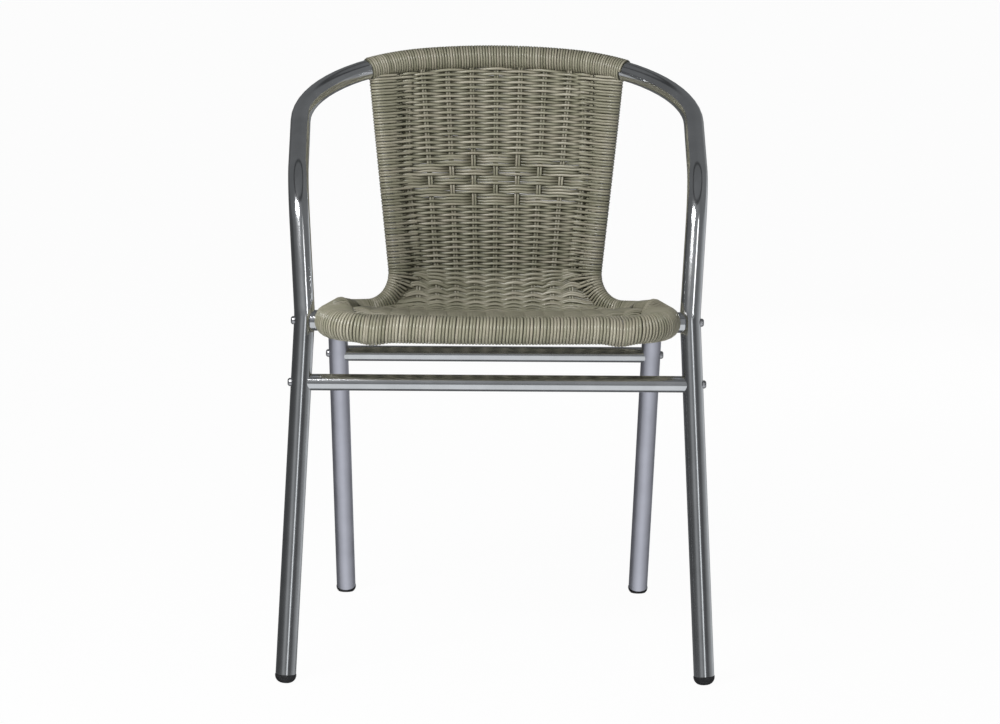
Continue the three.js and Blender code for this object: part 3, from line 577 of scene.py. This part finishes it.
# %% Top rail winding
RAIL_PITCH = 3.65
WIND_THICK = 2.6
RAIL_PAST = 10
RAIL_STEPS = 20
rail_half = side_half - HOOP_TOP_INSET + RAIL_PAST
rail_cane = Cane(RAIL_PITCH * 0.98, WIND_THICK, seed=3)
wind(rail_cane, bow, (rail_length(rail_half), rail_length(-rail_half)), lambda s: RAIL_PITCH,
     RAIL_STEPS, lambda *_: [(0, 0, TUBE + WIND_THICK / 2)], wobble=0.35)
rail_wrap = rail_cane.finish("top_rail_cane")

# %% [markdown]
# Round the seat the turn has to find the hoop: it looks where the hoop passes through the plane
# that stands across the seat tube, and pulls the outline round both.

# %% Seat side and front roll windings
SIDE_AHEAD, ROLL_PAST = 101, 14
hoop_mid, seat_mid = hoop.length / 2, seat.length / 2
side_back = SEAT_DEPTH - SIDE_AHEAD
side_from = seat.find(lambda p: p.y - side_back, 0, 0.5)
roll_from = seat.find(lambda p: p.y - (joint.y + ROLL_PAST), 0, 0.5)
per_length = (hoop_mid - hoop.find(lambda p: p.y - side_back, 0, 0.5)) / (seat_mid - side_from)
LUMP_AT, LUMP_HALF, LUMP_DEPTH = 147, 24, 3.2
HEAP_ALONG, HEAP_ACROSS, HEAP_WIDER = (-4, 14), (145, 190), 0.7
SIDE_WIDE, SIDE_PITCH = 3.8, 3.7
ROLL_PITCH, ROLL_THICK = 3.95, 3.2
SIDE_ON_TUBE, SIDE_ON_HOOP = 3.6, 2.8
ROLL_ON_TUBE, ROLL_ON_HOOP = 4.1, 3.2
BALL = 2.2
ROLL_STEPS, ROLL_WOBBLE, ROLL_SLANT = 26, 0.3, 0.12
CLOSER, CLOSE_SPAN = 0.2, (30, 50)
corner_at = (seat.starts[5] + seat.starts[6]) / 2


def hoop_passing(s, point, along, side, way):
    """The hoop's centre and its radius as they appear in the plane across the seat tube."""
    near = hoop_mid + (s - seat_mid) * per_length
    meets = halve(lambda h: (hoop.at(h)[0] - point).dot(along) < 0,
                  near - 2 * HOOP_REACH, near + 2 * HOOP_REACH)
    spot, direction = hoop.at(meets)
    off = spot - point
    return off.dot(side), off.dot(way), THIN_TUBE / abs(direction.dot(along))


def share_of(value, start, end):
    """How far a value has gone from start to end, eased at both ends."""
    return glide(min(1, max(0, (value - start) / (end - start))))


def two_tubes(on_tube, on_hoop, lump=0.0, ball=0.0):
    """The outline of a turn. A lump is the strand's knot under the roll's lower side, and a ball is
    the extra cane heaped on the corner, where the outer side of the bend has to be filled."""
    def circles(s, point, along, side, way):
        x, y, radius = hoop_passing(s, point, along, side, way)
        near_knot = max(0, 1 - abs(abs(point.x) - LUMP_AT) / LUMP_HALF) * abs(along.x)
        from_end = min(s - roll_from, seat.length - roll_from - s)
        heap = share_of(from_end, *HEAP_ALONG) * share_of(abs(point.x), *HEAP_ACROSS)
        return [(0, ball * heap - lump * glide(near_knot), TUBE + on_tube + ball * heap * HEAP_WIDER),
                (x, y, radius + on_hoop)]
    return circles


def roll_pitch(s):
    """The strand's pitch, closer in the corners, where the outer side of the bend is longer."""
    near_corner = min(abs(s - corner_at), abs(seat.length - corner_at - s))
    return ROLL_PITCH * (1 - CLOSER * (1 - share_of(near_corner, *CLOSE_SPAN)))


roll_cane = Cane(ROLL_PITCH * 1.04, ROLL_THICK, seed=5)
round_roll = two_tubes(ROLL_ON_TUBE - ROLL_THICK / 2, ROLL_ON_HOOP - ROLL_THICK / 2, LUMP_DEPTH, BALL)
wind(roll_cane, seat, (roll_from, seat.length - roll_from), roll_pitch, ROLL_STEPS, round_roll,
     ROLL_WOBBLE, ROLL_SLANT)
roll_wrap = roll_cane.finish("front_roll_cane")

round_side = two_tubes(SIDE_ON_TUBE - WIND_THICK / 2, SIDE_ON_HOOP - WIND_THICK / 2)
spans = {"right": (side_from, roll_from), "left": (seat.length - roll_from, seat.length - side_from)}
side_wraps = {}
for side, span in spans.items():
    side_cane = Cane(SIDE_WIDE, WIND_THICK, seed=7)
    wind(side_cane, seat, span, lambda s: SIDE_PITCH, ROLL_STEPS, round_side, ROLL_WOBBLE)
    side_wraps[side] = side_cane.finish("seat_side_cane_" + side)

# %% [markdown]
# ## The woven surface
# The back and the seat are one surface that rolls over at the crease. A row of weaving runs
# across it from rim to rim, and a stake runs down the back and forward over the seat. Both need a
# point and the way out of the surface, by how far down the middle a row lies and how far across
# the point is.

# %% The surface
CREASE_DROP, CREASE_BEND = 50, 36
TOP_AHEAD, TOP_BELOW, FRONT_INSET = 4, 2.2, 10
RIM_FALL, RIM_LANDS, RIM_TURNS = 0.4, 85, 25
crown = bow.at(rail_length(0))[0]
weave_top = Vector((0, crown.y - TOP_AHEAD, crown.z - TUBE - TOP_BELOW))
crease = Vector((0, SEAT_DEPTH, SEAT_HEIGHT - CREASE_DROP))
hoop_front = hoop.at(hoop_mid)[0]
weave_front = Vector((0, hoop_front.y + FRONT_INSET, hoop_front.z))
middle = Route([weave_top, crease, weave_front], [CREASE_BEND])
back_end, seat_start = middle.starts[1], middle.starts[2]
rim_top = TUBE + 1
rim_back_end = hoop.starts[1]
rim_seat_start = hoop.find(lambda p: p.y - (SEAT_DEPTH - RIM_LANDS), 0, 0.5)
rim_front = hoop.find(lambda p: p.y - (hoop_front.y + RIM_TURNS), 0, 0.5)


def rim_length_at(down):
    """How far along the hoop a row ends whose middle lies this far down the surface."""
    if down < back_end:
        wanted = min(middle.at(down)[0].z, hoop.at(rim_top)[0].z - down * RIM_FALL)
        return halve(lambda s: hoop.at(s)[0].z > wanted, rim_top, rim_back_end)
    if down < seat_start:
        share = (down - back_end) / (seat_start - back_end)
        return rim_back_end + (rim_seat_start - rim_back_end) * share
    share = (down - seat_start) / (middle.length - seat_start)
    return rim_seat_start + (rim_front - rim_seat_start) * share


rim_cache = {}


def row_ends(down):
    """A row's middle and its right-hand end on the hoop's centre line."""
    key = round(down, 2)
    if key not in rim_cache:
        rim_cache[key] = (middle.at(down)[0], hoop.at(rim_length_at(down))[0])
    return rim_cache[key]


def surface(down, x):
    """The point of the woven surface on a row, x millimetres to the right of the middle."""
    mid, end = row_ends(down)
    sag = 1 - min(1, abs(x) / end.x) ** 2
    return Vector((x, end.y + (mid.y - end.y) * sag, end.z + (mid.z - end.z) * sag))


def way_out(down, x):
    """Out of the surface, towards the sitter."""
    low, high = max(down - 2, 0), min(down + 2, middle.length)
    along = surface(high, x) - surface(low, x)
    across = surface(down, x + 2) - surface(down, x - 2)
    return along.cross(across).normalized()


# %% [markdown]
# Nine stakes fan out up the back, each a pair of strands, and in the seat there are three more on
# each side. Most of the cloth is plain weaving: each row passes over one stake and under the next.
# In the middle of the back three rows at a time pass together, which leaves a diamond of stakes.

# %% Stakes and rows
PITCH_TOP, PITCH_LOW, PITCH_FRONT = 31.8, 24.8, 23.4
BACK_STAKES, SEAT_STAKES = 4, 7
OUTER_STAKE = 114
ROW_PITCH, MOTIF_PITCH = 3.53, 3.93
MOTIF_MIDDLE = 144.5
MOTIF_GROUPS, ROWS_IN_GROUP = 5, 3
STAKE_WIDE, STAKE_THICK = 3.5, 2.8
ROW_WIDE, ROW_THICK = 4.05, 2.8
SHORT_FROM = 2
STAKE_SHADE, STAKE_PRESS = 0.5, 0.8
OUTER_ROOM = 11
ROW_ARC, CREASE_ARC = 0.7, 1.6
LIFT = (STAKE_THICK + ROW_THICK) / 2


def stake_x(k, down):
    """How far right of the middle stake k is on the row this far down."""
    end = row_ends(down)[1].x
    if down < back_end:
        pitch = PITCH_TOP + (PITCH_LOW - PITCH_TOP) * down / back_end
    else:
        share = max(0, (down - seat_start) / (middle.length - seat_start))
        pitch = PITCH_LOW + (PITCH_FRONT - PITCH_LOW) * share
    size = abs(k)
    if size < BACK_STAKES:
        x = size * pitch
    else:
        outer = min(BACK_STAKES * pitch, OUTER_STAKE)
        room = (end - OUTER_ROOM - outer) / (SEAT_STAKES - BACK_STAKES + 0.5)
        x = outer + (size - BACK_STAKES) * min(pitch, room)
    return math.copysign(x, k) if k else 0.0


row_downs = []
down = MOTIF_MIDDLE - MOTIF_PITCH * ROWS_IN_GROUP * MOTIF_GROUPS / 2 - ROW_PITCH / 2
while down > 0:
    row_downs.insert(0, down)
    down -= ROW_PITCH
motif_first = len(row_downs)
down = row_downs[-1] + (ROW_PITCH + MOTIF_PITCH) / 2
for _ in range(ROWS_IN_GROUP * MOTIF_GROUPS):
    row_downs.append(down)
    down += MOTIF_PITCH
motif_end = len(row_downs)
down -= (MOTIF_PITCH - ROW_PITCH) / 2
while down < middle.length - 1:
    row_downs.append(down)
    down += ROW_PITCH

# For each group of rows in the motif: the stakes in front of it, and how far out the motif reaches.
BARS = [((1,), 2), ((0, 2), 3), ((1, 3), 4), ((0, 2), 3), ((1,), 2)]


def passes_over(row, k):
    """Whether a row lies in front of stake k."""
    if motif_first <= row < motif_end:
        bars, reach = BARS[(row - motif_first) // ROWS_IN_GROUP]
        if abs(k) <= reach:
            return abs(k) not in bars
    return (row + k) % 2 == 0


# %% [markdown]
# A row's route is a wave: it is lifted off the surface where it passes over a stake and pushed
# behind it where it passes under, and it glides from one to the other in between. On the back it
# ends behind the outer stake, where the rim's strands take over.

# %% Weaving the rows
SPLIT = (back_end + seat_start) / 2
ROW_INSET, STAKE_INSET = 5, 14
ROW_TAIL, SHORT_TUCK = 13, 4
LOOSE_BEFORE, TIGHT_BEFORE = 28, 6
TIGHT_AFTER, LOOSE_AFTER = 40, 80
FULLER, THINNER, THIN_SPAN = 0.34, 0.6, (55, 95)
WANDER = 0.35
PAIR_HALF = STAKE_WIDE * 0.49
PRESS_REACH = 4.5
STAKE_TOP, OUTER_TOP, STAKE_PAST = -5, 4, 3
SHORT_BEFORE, SHORT_AFTER = 5, 4


def stakes_on(down):
    """The stakes that cross a row, from left to right."""
    last = BACK_STAKES if down < SPLIT else SEAT_STAKES
    end = row_ends(down)[1].x - STAKE_INSET
    return [k for k in range(-last, last + 1) if abs(stake_x(k, down)) < end]


def tightness(down):
    """How tight the rows lie: 0 in the back, 1 in the crease and about half of that in the seat."""
    enter = share_of(down, back_end - LOOSE_BEFORE, back_end - TIGHT_BEFORE)
    return enter * (1 - 0.5 * share_of(down, seat_start + TIGHT_AFTER, seat_start + LOOSE_AFTER))


def lift_at(down):
    """How far a row stands off the cloth."""
    return LIFT * (1 - 0.5 * tightness(down))


def knots_on(row, down, stakes):
    """Where a row crosses the stakes, and how high it passes each."""
    lift = lift_at(down)
    return [(stake_x(k, down), lift if passes_over(row, k) else -lift) for k in stakes]


def lay_row(cane, row, down):
    """A row from rim to rim."""
    lift = lift_at(down)
    edge = row_ends(down)[1].x - ROW_INSET
    if down < back_end:
        edge = min(edge, stake_x(BACK_STAKES, down) + ROW_TAIL)
    knots = knots_on(row, down, stakes_on(down))
    weave_through(cane, down, [(-edge, -lift)] + knots + [(edge, -lift)], FULLER)


def lay_short_row(cane, row, down, side):
    """A row that starts between two stakes and runs to one rim."""
    lift = lift_at(down)
    start = (stake_x(SHORT_FROM, down) + stake_x(SHORT_FROM + 1, down)) / 2
    knots = knots_on(row, down, [k for k in stakes_on(down) if k > SHORT_FROM])
    edge = row_ends(down)[1].x - ROW_INSET
    knots = [(start - SHORT_TUCK, -2 * lift)] + knots + [(edge, -lift)]
    knots = [(side * x, height) for x, height in knots]
    weave_through(cane, down, knots if side > 0 else knots[::-1], fuller=0)


def weave_through(cane, down, knots, fuller, samples=6):
    """A strand across the cloth that has a given height at each knot. It hangs in an arc between
    stakes. Where the rows lie tight, it is fuller in the middle of the cloth."""
    tight = tightness(down)
    arc = ROW_ARC + CREASE_ARC * tight
    wander = [cane.chance.uniform(-WANDER, WANDER) for _ in knots]
    points, outs, depths, swells = [], [], [], []
    for i in range(len(knots) - 1):
        (x0, h0), (x1, h1) = knots[i], knots[i + 1]
        for j in range(samples + (i == len(knots) - 2)):
            t = j / samples
            x = x0 + (x1 - x0) * t
            out = way_out(down, x)
            drop = wander[i] + (wander[i + 1] - wander[i]) * t + arc * (1 - abs(math.cos(math.pi * t)))
            lie = surface(min(down + drop, middle.length), x)
            height = h0 + (h1 - h0) * glide(t)
            points.append(lie + out * height)
            outs.append(out)
            # depth: how far the row dips behind the stakes, painted as shade in the cane's finish.
            depths.append(0.5 - height / lift_at(down) / 2 * (1 - 0.3 * tight))
            swells.append(1 + tight * fuller * (1 - THINNER * share_of(abs(x), *THIN_SPAN)))
    cane.lay(points, outs, cane.drifting(len(points), samples * 2), depths, swells)


def lay_stake(cane, k, span, step=3.0):
    """A pair of strands down the surface, pressed away from the rows that pass over them."""
    count = max(2, round((span[1] - span[0]) / step))
    for off in (-PAIR_HALF, PAIR_HALF):
        points, outs = [], []
        for i in range(count + 1):
            down = span[0] + (span[1] - span[0]) * i / count
            lies = max(down, 0)
            near = [r for r, at in enumerate(row_downs) if abs(at - down) < PRESS_REACH]
            press = STAKE_PRESS * sum(-1 if passes_over(r, k) else 1 for r in near) / max(1, len(near))
            x = stake_x(k, lies)
            out = way_out(lies, x)
            points.append(surface(lies, x + off) + Vector((0, 0, lies - down)) + out * press)
            outs.append(out)
        # Every stake gets the same painted shade.
        cane.lay(points, outs, depths=[STAKE_SHADE] * len(points))


back_cane = Cane(ROW_WIDE, ROW_THICK, seed=11)
seat_cane = Cane(ROW_WIDE, ROW_THICK, seed=13)
for row, down in enumerate(row_downs):
    lay_row(back_cane if down < SPLIT else seat_cane, row, down)
    between = down + ROW_PITCH / 2
    if back_end - SHORT_BEFORE < between < seat_start + SHORT_AFTER:
        for side in (-1, 1):
            lay_short_row(back_cane if between < SPLIT else seat_cane, row + 1, between, side)

back_stakes = Cane(STAKE_WIDE, STAKE_THICK, seed=17)
seat_stakes = Cane(STAKE_WIDE, STAKE_THICK, seed=19)
for k in range(-BACK_STAKES, BACK_STAKES + 1):
    lay_stake(back_stakes, k, (STAKE_TOP if abs(k) < BACK_STAKES else OUTER_TOP, SPLIT))
for k in range(-SEAT_STAKES, SEAT_STAKES + 1):
    first = next(v for v in row_downs if v > SPLIT and k in stakes_on(v))
    lay_stake(seat_stakes, k, (first, middle.length + STAKE_PAST))
back_rows = back_cane.finish("back_cane_rows")
seat_rows = seat_cane.finish("seat_cane_rows")
back_ribs = back_stakes.finish("back_cane_stakes")
seat_ribs = seat_stakes.finish("seat_cane_stakes")

# %% [markdown]
# The rim's strand goes round the hoop and reaches over to the outer stake. Every second turn goes
# round that stake, and the others stop short of it, which leaves the row of dark holes that runs
# down both sides of the back. The strand starts behind the back, under the rail's own winding.

# %% Back rim windings
RIM_PITCH = 3.75
RIM_THICK = 2.6
RIM_STEPS, RIM_LEAD = 24, 17
PAST_STAKE, SHORT_OF_STAKE, LEAST_REACH = 4, 10, 12
LOW_REACH, LOW_SPAN = 13, 30
LEAST_APART, STAKE_ROUND, RIM_PAST = 11, 2.4, 4
side_start, side_along = seat.at(side_from)
rim_meet = hoop.find(lambda p: (p - side_start).dot(side_along), 0, 0.5)
rim_ends = [(rim_length_at(d), d) for d in [middle.length * i / 400 for i in range(401)]]


def down_at_rim(s):
    """The row that ends at a length on the hoop."""
    for (s0, d0), (s1, d1) in zip(rim_ends, rim_ends[1:]):
        if s1 >= s:
            return d0 + (d1 - d0) * max(0, s - s0) / max(s1 - s0, 0.001)
    return rim_ends[-1][1]


def rim_circles(s, point, along, turn):
    """The hoop and where a turn reaches to, with the directions they are measured in."""
    down = down_at_rim(s)
    room = row_ends(down)[1].x - stake_x(BACK_STAKES, down)
    reach = room + PAST_STAKE if turn % 2 else room - SHORT_OF_STAKE
    reach += (LOW_REACH - reach) * share_of(s, rim_back_end, rim_back_end + LOW_SPAN)
    goal = surface(down, row_ends(down)[1].x - max(reach, LEAST_REACH))
    side = goal - point
    side = (side - along * side.dot(along)).normalized()
    way = along.cross(side).normalized()
    apart = max(LEAST_APART, (goal - point).dot(side))
    return side, way, [(0, 0, THIN_TUBE + RIM_THICK / 2), (apart, 0, STAKE_ROUND)]


points, outs = [], []
for j in range(-RIM_LEAD, int((rim_meet - rim_top + RIM_PAST) / RIM_PITCH) * RIM_STEPS):
    s = rim_top - 1 + RIM_PITCH * j / RIM_STEPS
    point, along = hoop.at(s)
    side, way, circles = rim_circles(s, point, along, j // RIM_STEPS)
    spot, a = round_two(*circles, j / RIM_STEPS + 0.5)
    points.append(point + side * spot[0] + way * spot[1])
    outs.append(side * math.cos(a) + way * math.sin(a))

rim_wraps = {}
for side, flip in SIDES:
    rim_cane = Cane(RIM_PITCH, RIM_THICK, seed=23)
    tints = rim_cane.drifting(len(points), RIM_STEPS)
    rim_cane.lay([flip(p) for p in points], [flip(p) for p in outs], tints)
    rim_wraps[side] = rim_cane.finish("back_rim_cane_" + side)

# %% [markdown]
# ## Finishes
# Every metal gets fine drawn lines and faint smudges. The cane gets a tint that wanders along each
# strand, grime and painted shade on a strand's flanks, and painted shade where it lies deep behind
# its neighbours.

# %% Node helpers
BUMP_DEPTH = 0.0003


def new_material(name):
    material = bpy.data.materials.new(name)
    material.use_nodes = True
    nodes = material.node_tree.nodes
    return material, nodes, nodes["Principled BSDF"]


def join(out, into):
    out.id_data.links.new(out, into)


def add(nodes, kind, **values):
    """A node with its inputs or its settings filled in."""
    node = nodes.new(kind)
    for key, value in values.items():
        if key in node.inputs:
            node.inputs[key].default_value = value
        else:
            setattr(node, key, value)
    return node


def tinted(nodes, value, stops):
    """A value turned into a colour by a ramp."""
    node = nodes.new("ShaderNodeValToRGB")
    elements = node.color_ramp.elements
    while len(elements) < len(stops):
        elements.new(0.5)
    while len(elements) > len(stops):
        elements.remove(elements[-1])
    for element, (place, color) in zip(elements, stops):
        element.position = place
        element.color = (*color, 1)
    join(value, node.inputs["Fac"])
    return node.outputs["Color"]


def mixed(nodes, share, first, second, kind="MIX"):
    """Two colours mixed or multiplied. Each argument is a value or another node's output."""
    node = add(nodes, "ShaderNodeMix", data_type="RGBA", blend_type=kind)
    for value, into in zip((share, first, second), (node.inputs["Factor"], *node.inputs[6:8])):
        if isinstance(value, bpy.types.NodeSocket):
            join(value, into)
        else:
            into.default_value = value
    return node.outputs[2]


def speckle(nodes, scale, detail, stretch=1):
    """Noise fixed to the object, drawn out along z when stretch is below 1."""
    where = nodes.new("ShaderNodeTexCoord")
    size = add(nodes, "ShaderNodeMapping", Scale=(scale, scale, scale * stretch))
    noise = add(nodes, "ShaderNodeTexNoise", Scale=1, Detail=detail)
    join(where.outputs["Object"], size.inputs["Vector"])
    join(size.outputs["Vector"], noise.inputs["Vector"])
    return noise.outputs["Fac"]


def rough_up(nodes, shader, height, strength):
    """A slight bump."""
    bump = add(nodes, "ShaderNodeBump", Strength=strength, Distance=BUMP_DEPTH)
    join(height, bump.inputs["Height"])
    join(bump.outputs["Normal"], shader.inputs["Normal"])


# %% Metal
def metal(name, color, rough, smudge, line_scale):
    """Drawn aluminium: a base colour, roughness that varies in patches, and a fine bump."""
    material, nodes, shader = new_material(name)
    shader.inputs["Metallic"].default_value = 1
    patches = speckle(nodes, 28, 4)
    tone = tinted(nodes, patches, [(0.3, [c * 0.86 for c in color]), (0.7, color)])
    join(tone, shader.inputs["Base Color"])
    spread = add(nodes, "ShaderNodeMapRange", **{"To Min": rough, "To Max": rough + smudge})
    join(patches, spread.inputs["Value"])
    join(spread.outputs["Result"], shader.inputs["Roughness"])
    rough_up(nodes, shader, speckle(nodes, line_scale, 2, stretch=0.04), 0.06)
    return material


polished = metal("polished_aluminium", (0.80, 0.81, 0.83), 0.1, 0.08, 900)
satin = metal("satin_aluminium", (0.7, 0.7, 0.785), 0.31, 0.12, 900)
bolt_steel = metal("bolt_steel", (0.58, 0.58, 0.6), 0.25, 0.15, 500)

# %% Cane
cane, nodes, shader = new_material("synthetic_cane")
tint, flank, depth = [add(nodes, "ShaderNodeAttribute", attribute_name=label).outputs["Fac"]
                      for label in ("tint", "flank", "depth")]
blend = add(nodes, "ShaderNodeMix", data_type="FLOAT", Factor=0.35)
join(tint, blend.inputs[2])
join(speckle(nodes, 30, 3), blend.inputs[3])
tone = tinted(nodes, blend.outputs[0], [(0.1, (0.245, 0.235, 0.165)), (0.45, (0.34, 0.327, 0.24)),
                                        (0.65, (0.37, 0.343, 0.262)), (0.9, (0.49, 0.468, 0.365))])
# Grime and painted shade: each strand darkens towards its flanks, where its neighbours shade it.
flank_grime_and_shade = tinted(nodes, flank, [(0.45, (1, 1, 1)), (1.0, (0.24, 0.24, 0.21))])
# Painted shade: strands darken where they lie deep behind their neighbours.
shade = tinted(nodes, depth, [(0.4, (1, 1, 1)), (0.95, (0.38, 0.38, 0.34))])
tone_grime_and_shade = mixed(nodes, 1, tone, flank_grime_and_shade, "MULTIPLY")
join(mixed(nodes, 1, tone_grime_and_shade, shade, "MULTIPLY"), shader.inputs["Base Color"])
shader.inputs["Roughness"].default_value = 0.32
rough_up(nodes, shader, speckle(nodes, 700, 2), 0.2)

# %% Rubber and nylon
def plastic(name, color, rough):
    """A dark plastic with paler scuffs."""
    material, nodes, shader = new_material(name)
    scuffs = speckle(nodes, 160, 5)
    tone = tinted(nodes, scuffs, [(0.4, color), (0.75, [c * 2.2 + 0.01 for c in color])])
    join(tone, shader.inputs["Base Color"])
    shader.inputs["Roughness"].default_value = rough
    rough_up(nodes, shader, scuffs, 0.1)
    return material


rubber = plastic("foot_rubber", (0.008, 0.008, 0.009), 0.6)
nylon = plastic("black_nylon", (0.02, 0.02, 0.021), 0.5)

# %% [markdown]
# ## Each piece to its place
# A new piece rides on the chair's one body and stands for the solid it was made from, which is
# hidden. The hidden inserts and nuts stay the plain solids, with a better material. The rear bar
# and the spacers are as bright as the bow.

# %% Pieces, solids and slots
def wear(piece, material):
    piece.data.materials.clear()
    piece.data.materials.append(material)


def dress(piece, material, node):
    wear(piece, material)
    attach(piece, "root")
    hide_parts(node)


dress(bow_tube, polished, "bow_tube")
dress(seat_tube, satin, "seat_tube")
dress(hoop_tube, satin, "hoop_tube")
dress(front_bar, polished, "front_stretcher")
dress(rear_bar, polished, "rear_stretcher")
for side, spacer in spacers.items():
    dress(spacer, polished, "seat_spacer_" + side)
for node, piece in bolts.items():
    dress(piece, bolt_steel, node)
for node, piece in feet.items():
    dress(piece, rubber, node)
dress(rail_wrap, cane, "top_rail_winding")
dress(roll_wrap, cane, "front_roll_winding")
for side, _ in SIDES:
    dress(side_wraps[side], cane, "seat_side_winding_" + side)
    dress(rim_wraps[side], cane, "back_rim_winding_" + side)
dress(back_rows, cane, "back_weave")
dress(back_ribs, cane, "back_weave")
dress(seat_rows, cane, "seat_weave")
dress(seat_ribs, cane, "seat_weave")
for name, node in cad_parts.items():
    if "_insert_" in name:
        wear(node, nylon)
    elif name.startswith("seat_nut_"):
        wear(node, bolt_steel)

# %% [markdown]
# ## The studio
# The camera sees nothing but white. Reflections see a photographer's room: a pale floor, a band
# round the horizon with one bright gap in it, and grey above. That gives the tubes their long dark
# and bright streaks. The room is painted on the world by bearing and by height, so both legs get
# the same streaks. Soft light comes from a plainer room and from four lamps.

# %% Floor
WHITE_SHARE = 0.97
let_go()
bpy.ops.mesh.primitive_plane_add(size=60)
floor = bpy.context.object
floor.name = "studio_floor"
floor.visible_glossy = False
white, nodes, shader = new_material("studio_white")
shader.inputs["Base Color"].default_value = (0.9, 0.9, 0.9, 1)
shader.inputs["Roughness"].default_value = 0.9
glow = add(nodes, "ShaderNodeEmission", Strength=1.0)
seen = nodes.new("ShaderNodeLightPath")
share = add(nodes, "ShaderNodeMath", operation="MULTIPLY")
share.inputs[1].default_value = WHITE_SHARE
join(seen.outputs["Is Camera Ray"], share.inputs[0])
mix = nodes.new("ShaderNodeMixShader")
join(share.outputs["Value"], mix.inputs["Fac"])
join(shader.outputs["BSDF"], mix.inputs[1])
join(glow.outputs["Emission"], mix.inputs[2])
join(mix.outputs["Shader"], nodes["Material Output"].inputs["Surface"])
floor.data.materials.append(white)

# %% The room that reflections see
FLOOR_EDGE, FLOOR_BLUR = -14.5, 1.5
WALL_TOP, COVE_FROM, CEILING_FROM = (6, 12), (48, 51), (56, 59)
COVE_LEVEL = 0.05
FLOOR_LEVEL = 0.72
HORIZON = {-150: 0.1, -120: 0.065, -80: 0.07, -60: 0.09, -46: 0.14, -33: 0.28, -17: 0.28, -8: 0.18,
           6: 0.2, 11: 1.1, 16: 1.1, 20: 0.13, 40: 0.08, 55: 0.1, 68: 0.18, 88: 0.28, 110: 0.4,
           130: 0.6, 150: 0.3, 180: 0.1}
ABOVE = {-120: 0.13, -60: 0.13, -40: 0.17, -12: 0.22, 0: 0.27, 12: 0.22, 50: 0.15, 90: 0.17, 180: 0.13}
GROUND = {-90: 0.4, -20: FLOOR_LEVEL, 20: FLOOR_LEVEL, 90: 0.4, 130: 0.14, 180: 0.12, 230: 0.14}
CEILING = {-180: 0.13, 0: 0.145}
world = bpy.data.worlds.new("studio")
bpy.context.scene.world = world
world.use_nodes = True
nodes = world.node_tree.nodes
backdrop = nodes["Background"]
way = nodes.new("ShaderNodeTexCoord")
bearing = add(nodes, "ShaderNodeTexGradient", gradient_type="RADIAL")
join(way.outputs["Generated"], bearing.inputs["Vector"])
height = nodes.new("ShaderNodeSeparateXYZ")
join(way.outputs["Generated"], height.inputs["Vector"])


def by_bearing(levels):
    """Brightness round the room by bearing in degrees, 0 being the way the sitter faces."""
    stops = sorted(((0.25 + b / 360) % 1, (v * 0.97, v, v * 1.02)) for b, v in levels.items())
    return tinted(nodes, bearing.outputs["Fac"], stops)


def stacked(lower, upper, start, end):
    """One colour below an elevation and another above it, blended from start to end degrees."""
    low, high = math.sin(math.radians(start)), math.sin(math.radians(end))
    share = add(nodes, "ShaderNodeMapRange", interpolation_type="SMOOTHSTEP",
                **{"From Min": low, "From Max": high})
    join(height.outputs["Z"], share.inputs["Value"])
    return mixed(nodes, share.outputs["Result"], lower, upper)


room = stacked(by_bearing(GROUND), by_bearing(HORIZON), FLOOR_EDGE - FLOOR_BLUR, FLOOR_EDGE + FLOOR_BLUR)
room = stacked(room, by_bearing(ABOVE), *WALL_TOP)
room = stacked(room, by_bearing({0: COVE_LEVEL}), *COVE_FROM)
room = stacked(room, by_bearing(CEILING), *CEILING_FROM)

# %% Light paths and lamps
ROOM_LIGHT = {-110: 0.07, -60: 0.1, 0: 0.36, 60: 0.1, 110: 0.07, 180: 0.2}
seen = nodes.new("ShaderNodeLightPath")
plain = mixed(nodes, seen.outputs["Is Camera Ray"], by_bearing(ROOM_LIGHT), (1, 1, 1, 1))
reflected = add(nodes, "ShaderNodeMath", operation="MAXIMUM")
join(seen.outputs["Is Glossy Ray"], reflected.inputs[0])
join(seen.outputs["Is Transmission Ray"], reflected.inputs[1])
join(mixed(nodes, reflected.outputs["Value"], plain, room), backdrop.inputs["Color"])
AIM = Vector((0, 0, 0.5))


def soft_light(name, at, size, power, mirrored=True):
    """A lamp aimed at the chair, in metres and watts. One that isn't mirrored only gives light."""
    data = bpy.data.lights.new(name, "AREA")
    data.shape = "RECTANGLE"
    data.size, data.size_y = size
    data.energy = power
    lamp = bpy.data.objects.new(name, data)
    lamp.location = at
    lamp.rotation_euler = (AIM - Vector(at)).to_track_quat("-Z", "Y").to_euler()
    lamp.visible_glossy = mirrored
    bpy.context.collection.objects.link(lamp)


soft_light("key_light", (-0.84, -1.4, 1.66), (0.95, 0.4), 30)
soft_light("fill_light", (1.2, -2.1, 1.3), (0.35, 0.7), 2)
soft_light("front_light", (0, -2.1, 0.25), (1.2, 0.4), 8, mirrored=False)
soft_light("back_light", (0.7, 2.3, 1.1), (1.2, 1.0), 13, mirrored=False)
bpy.context.scene.view_settings.view_transform = "Standard"
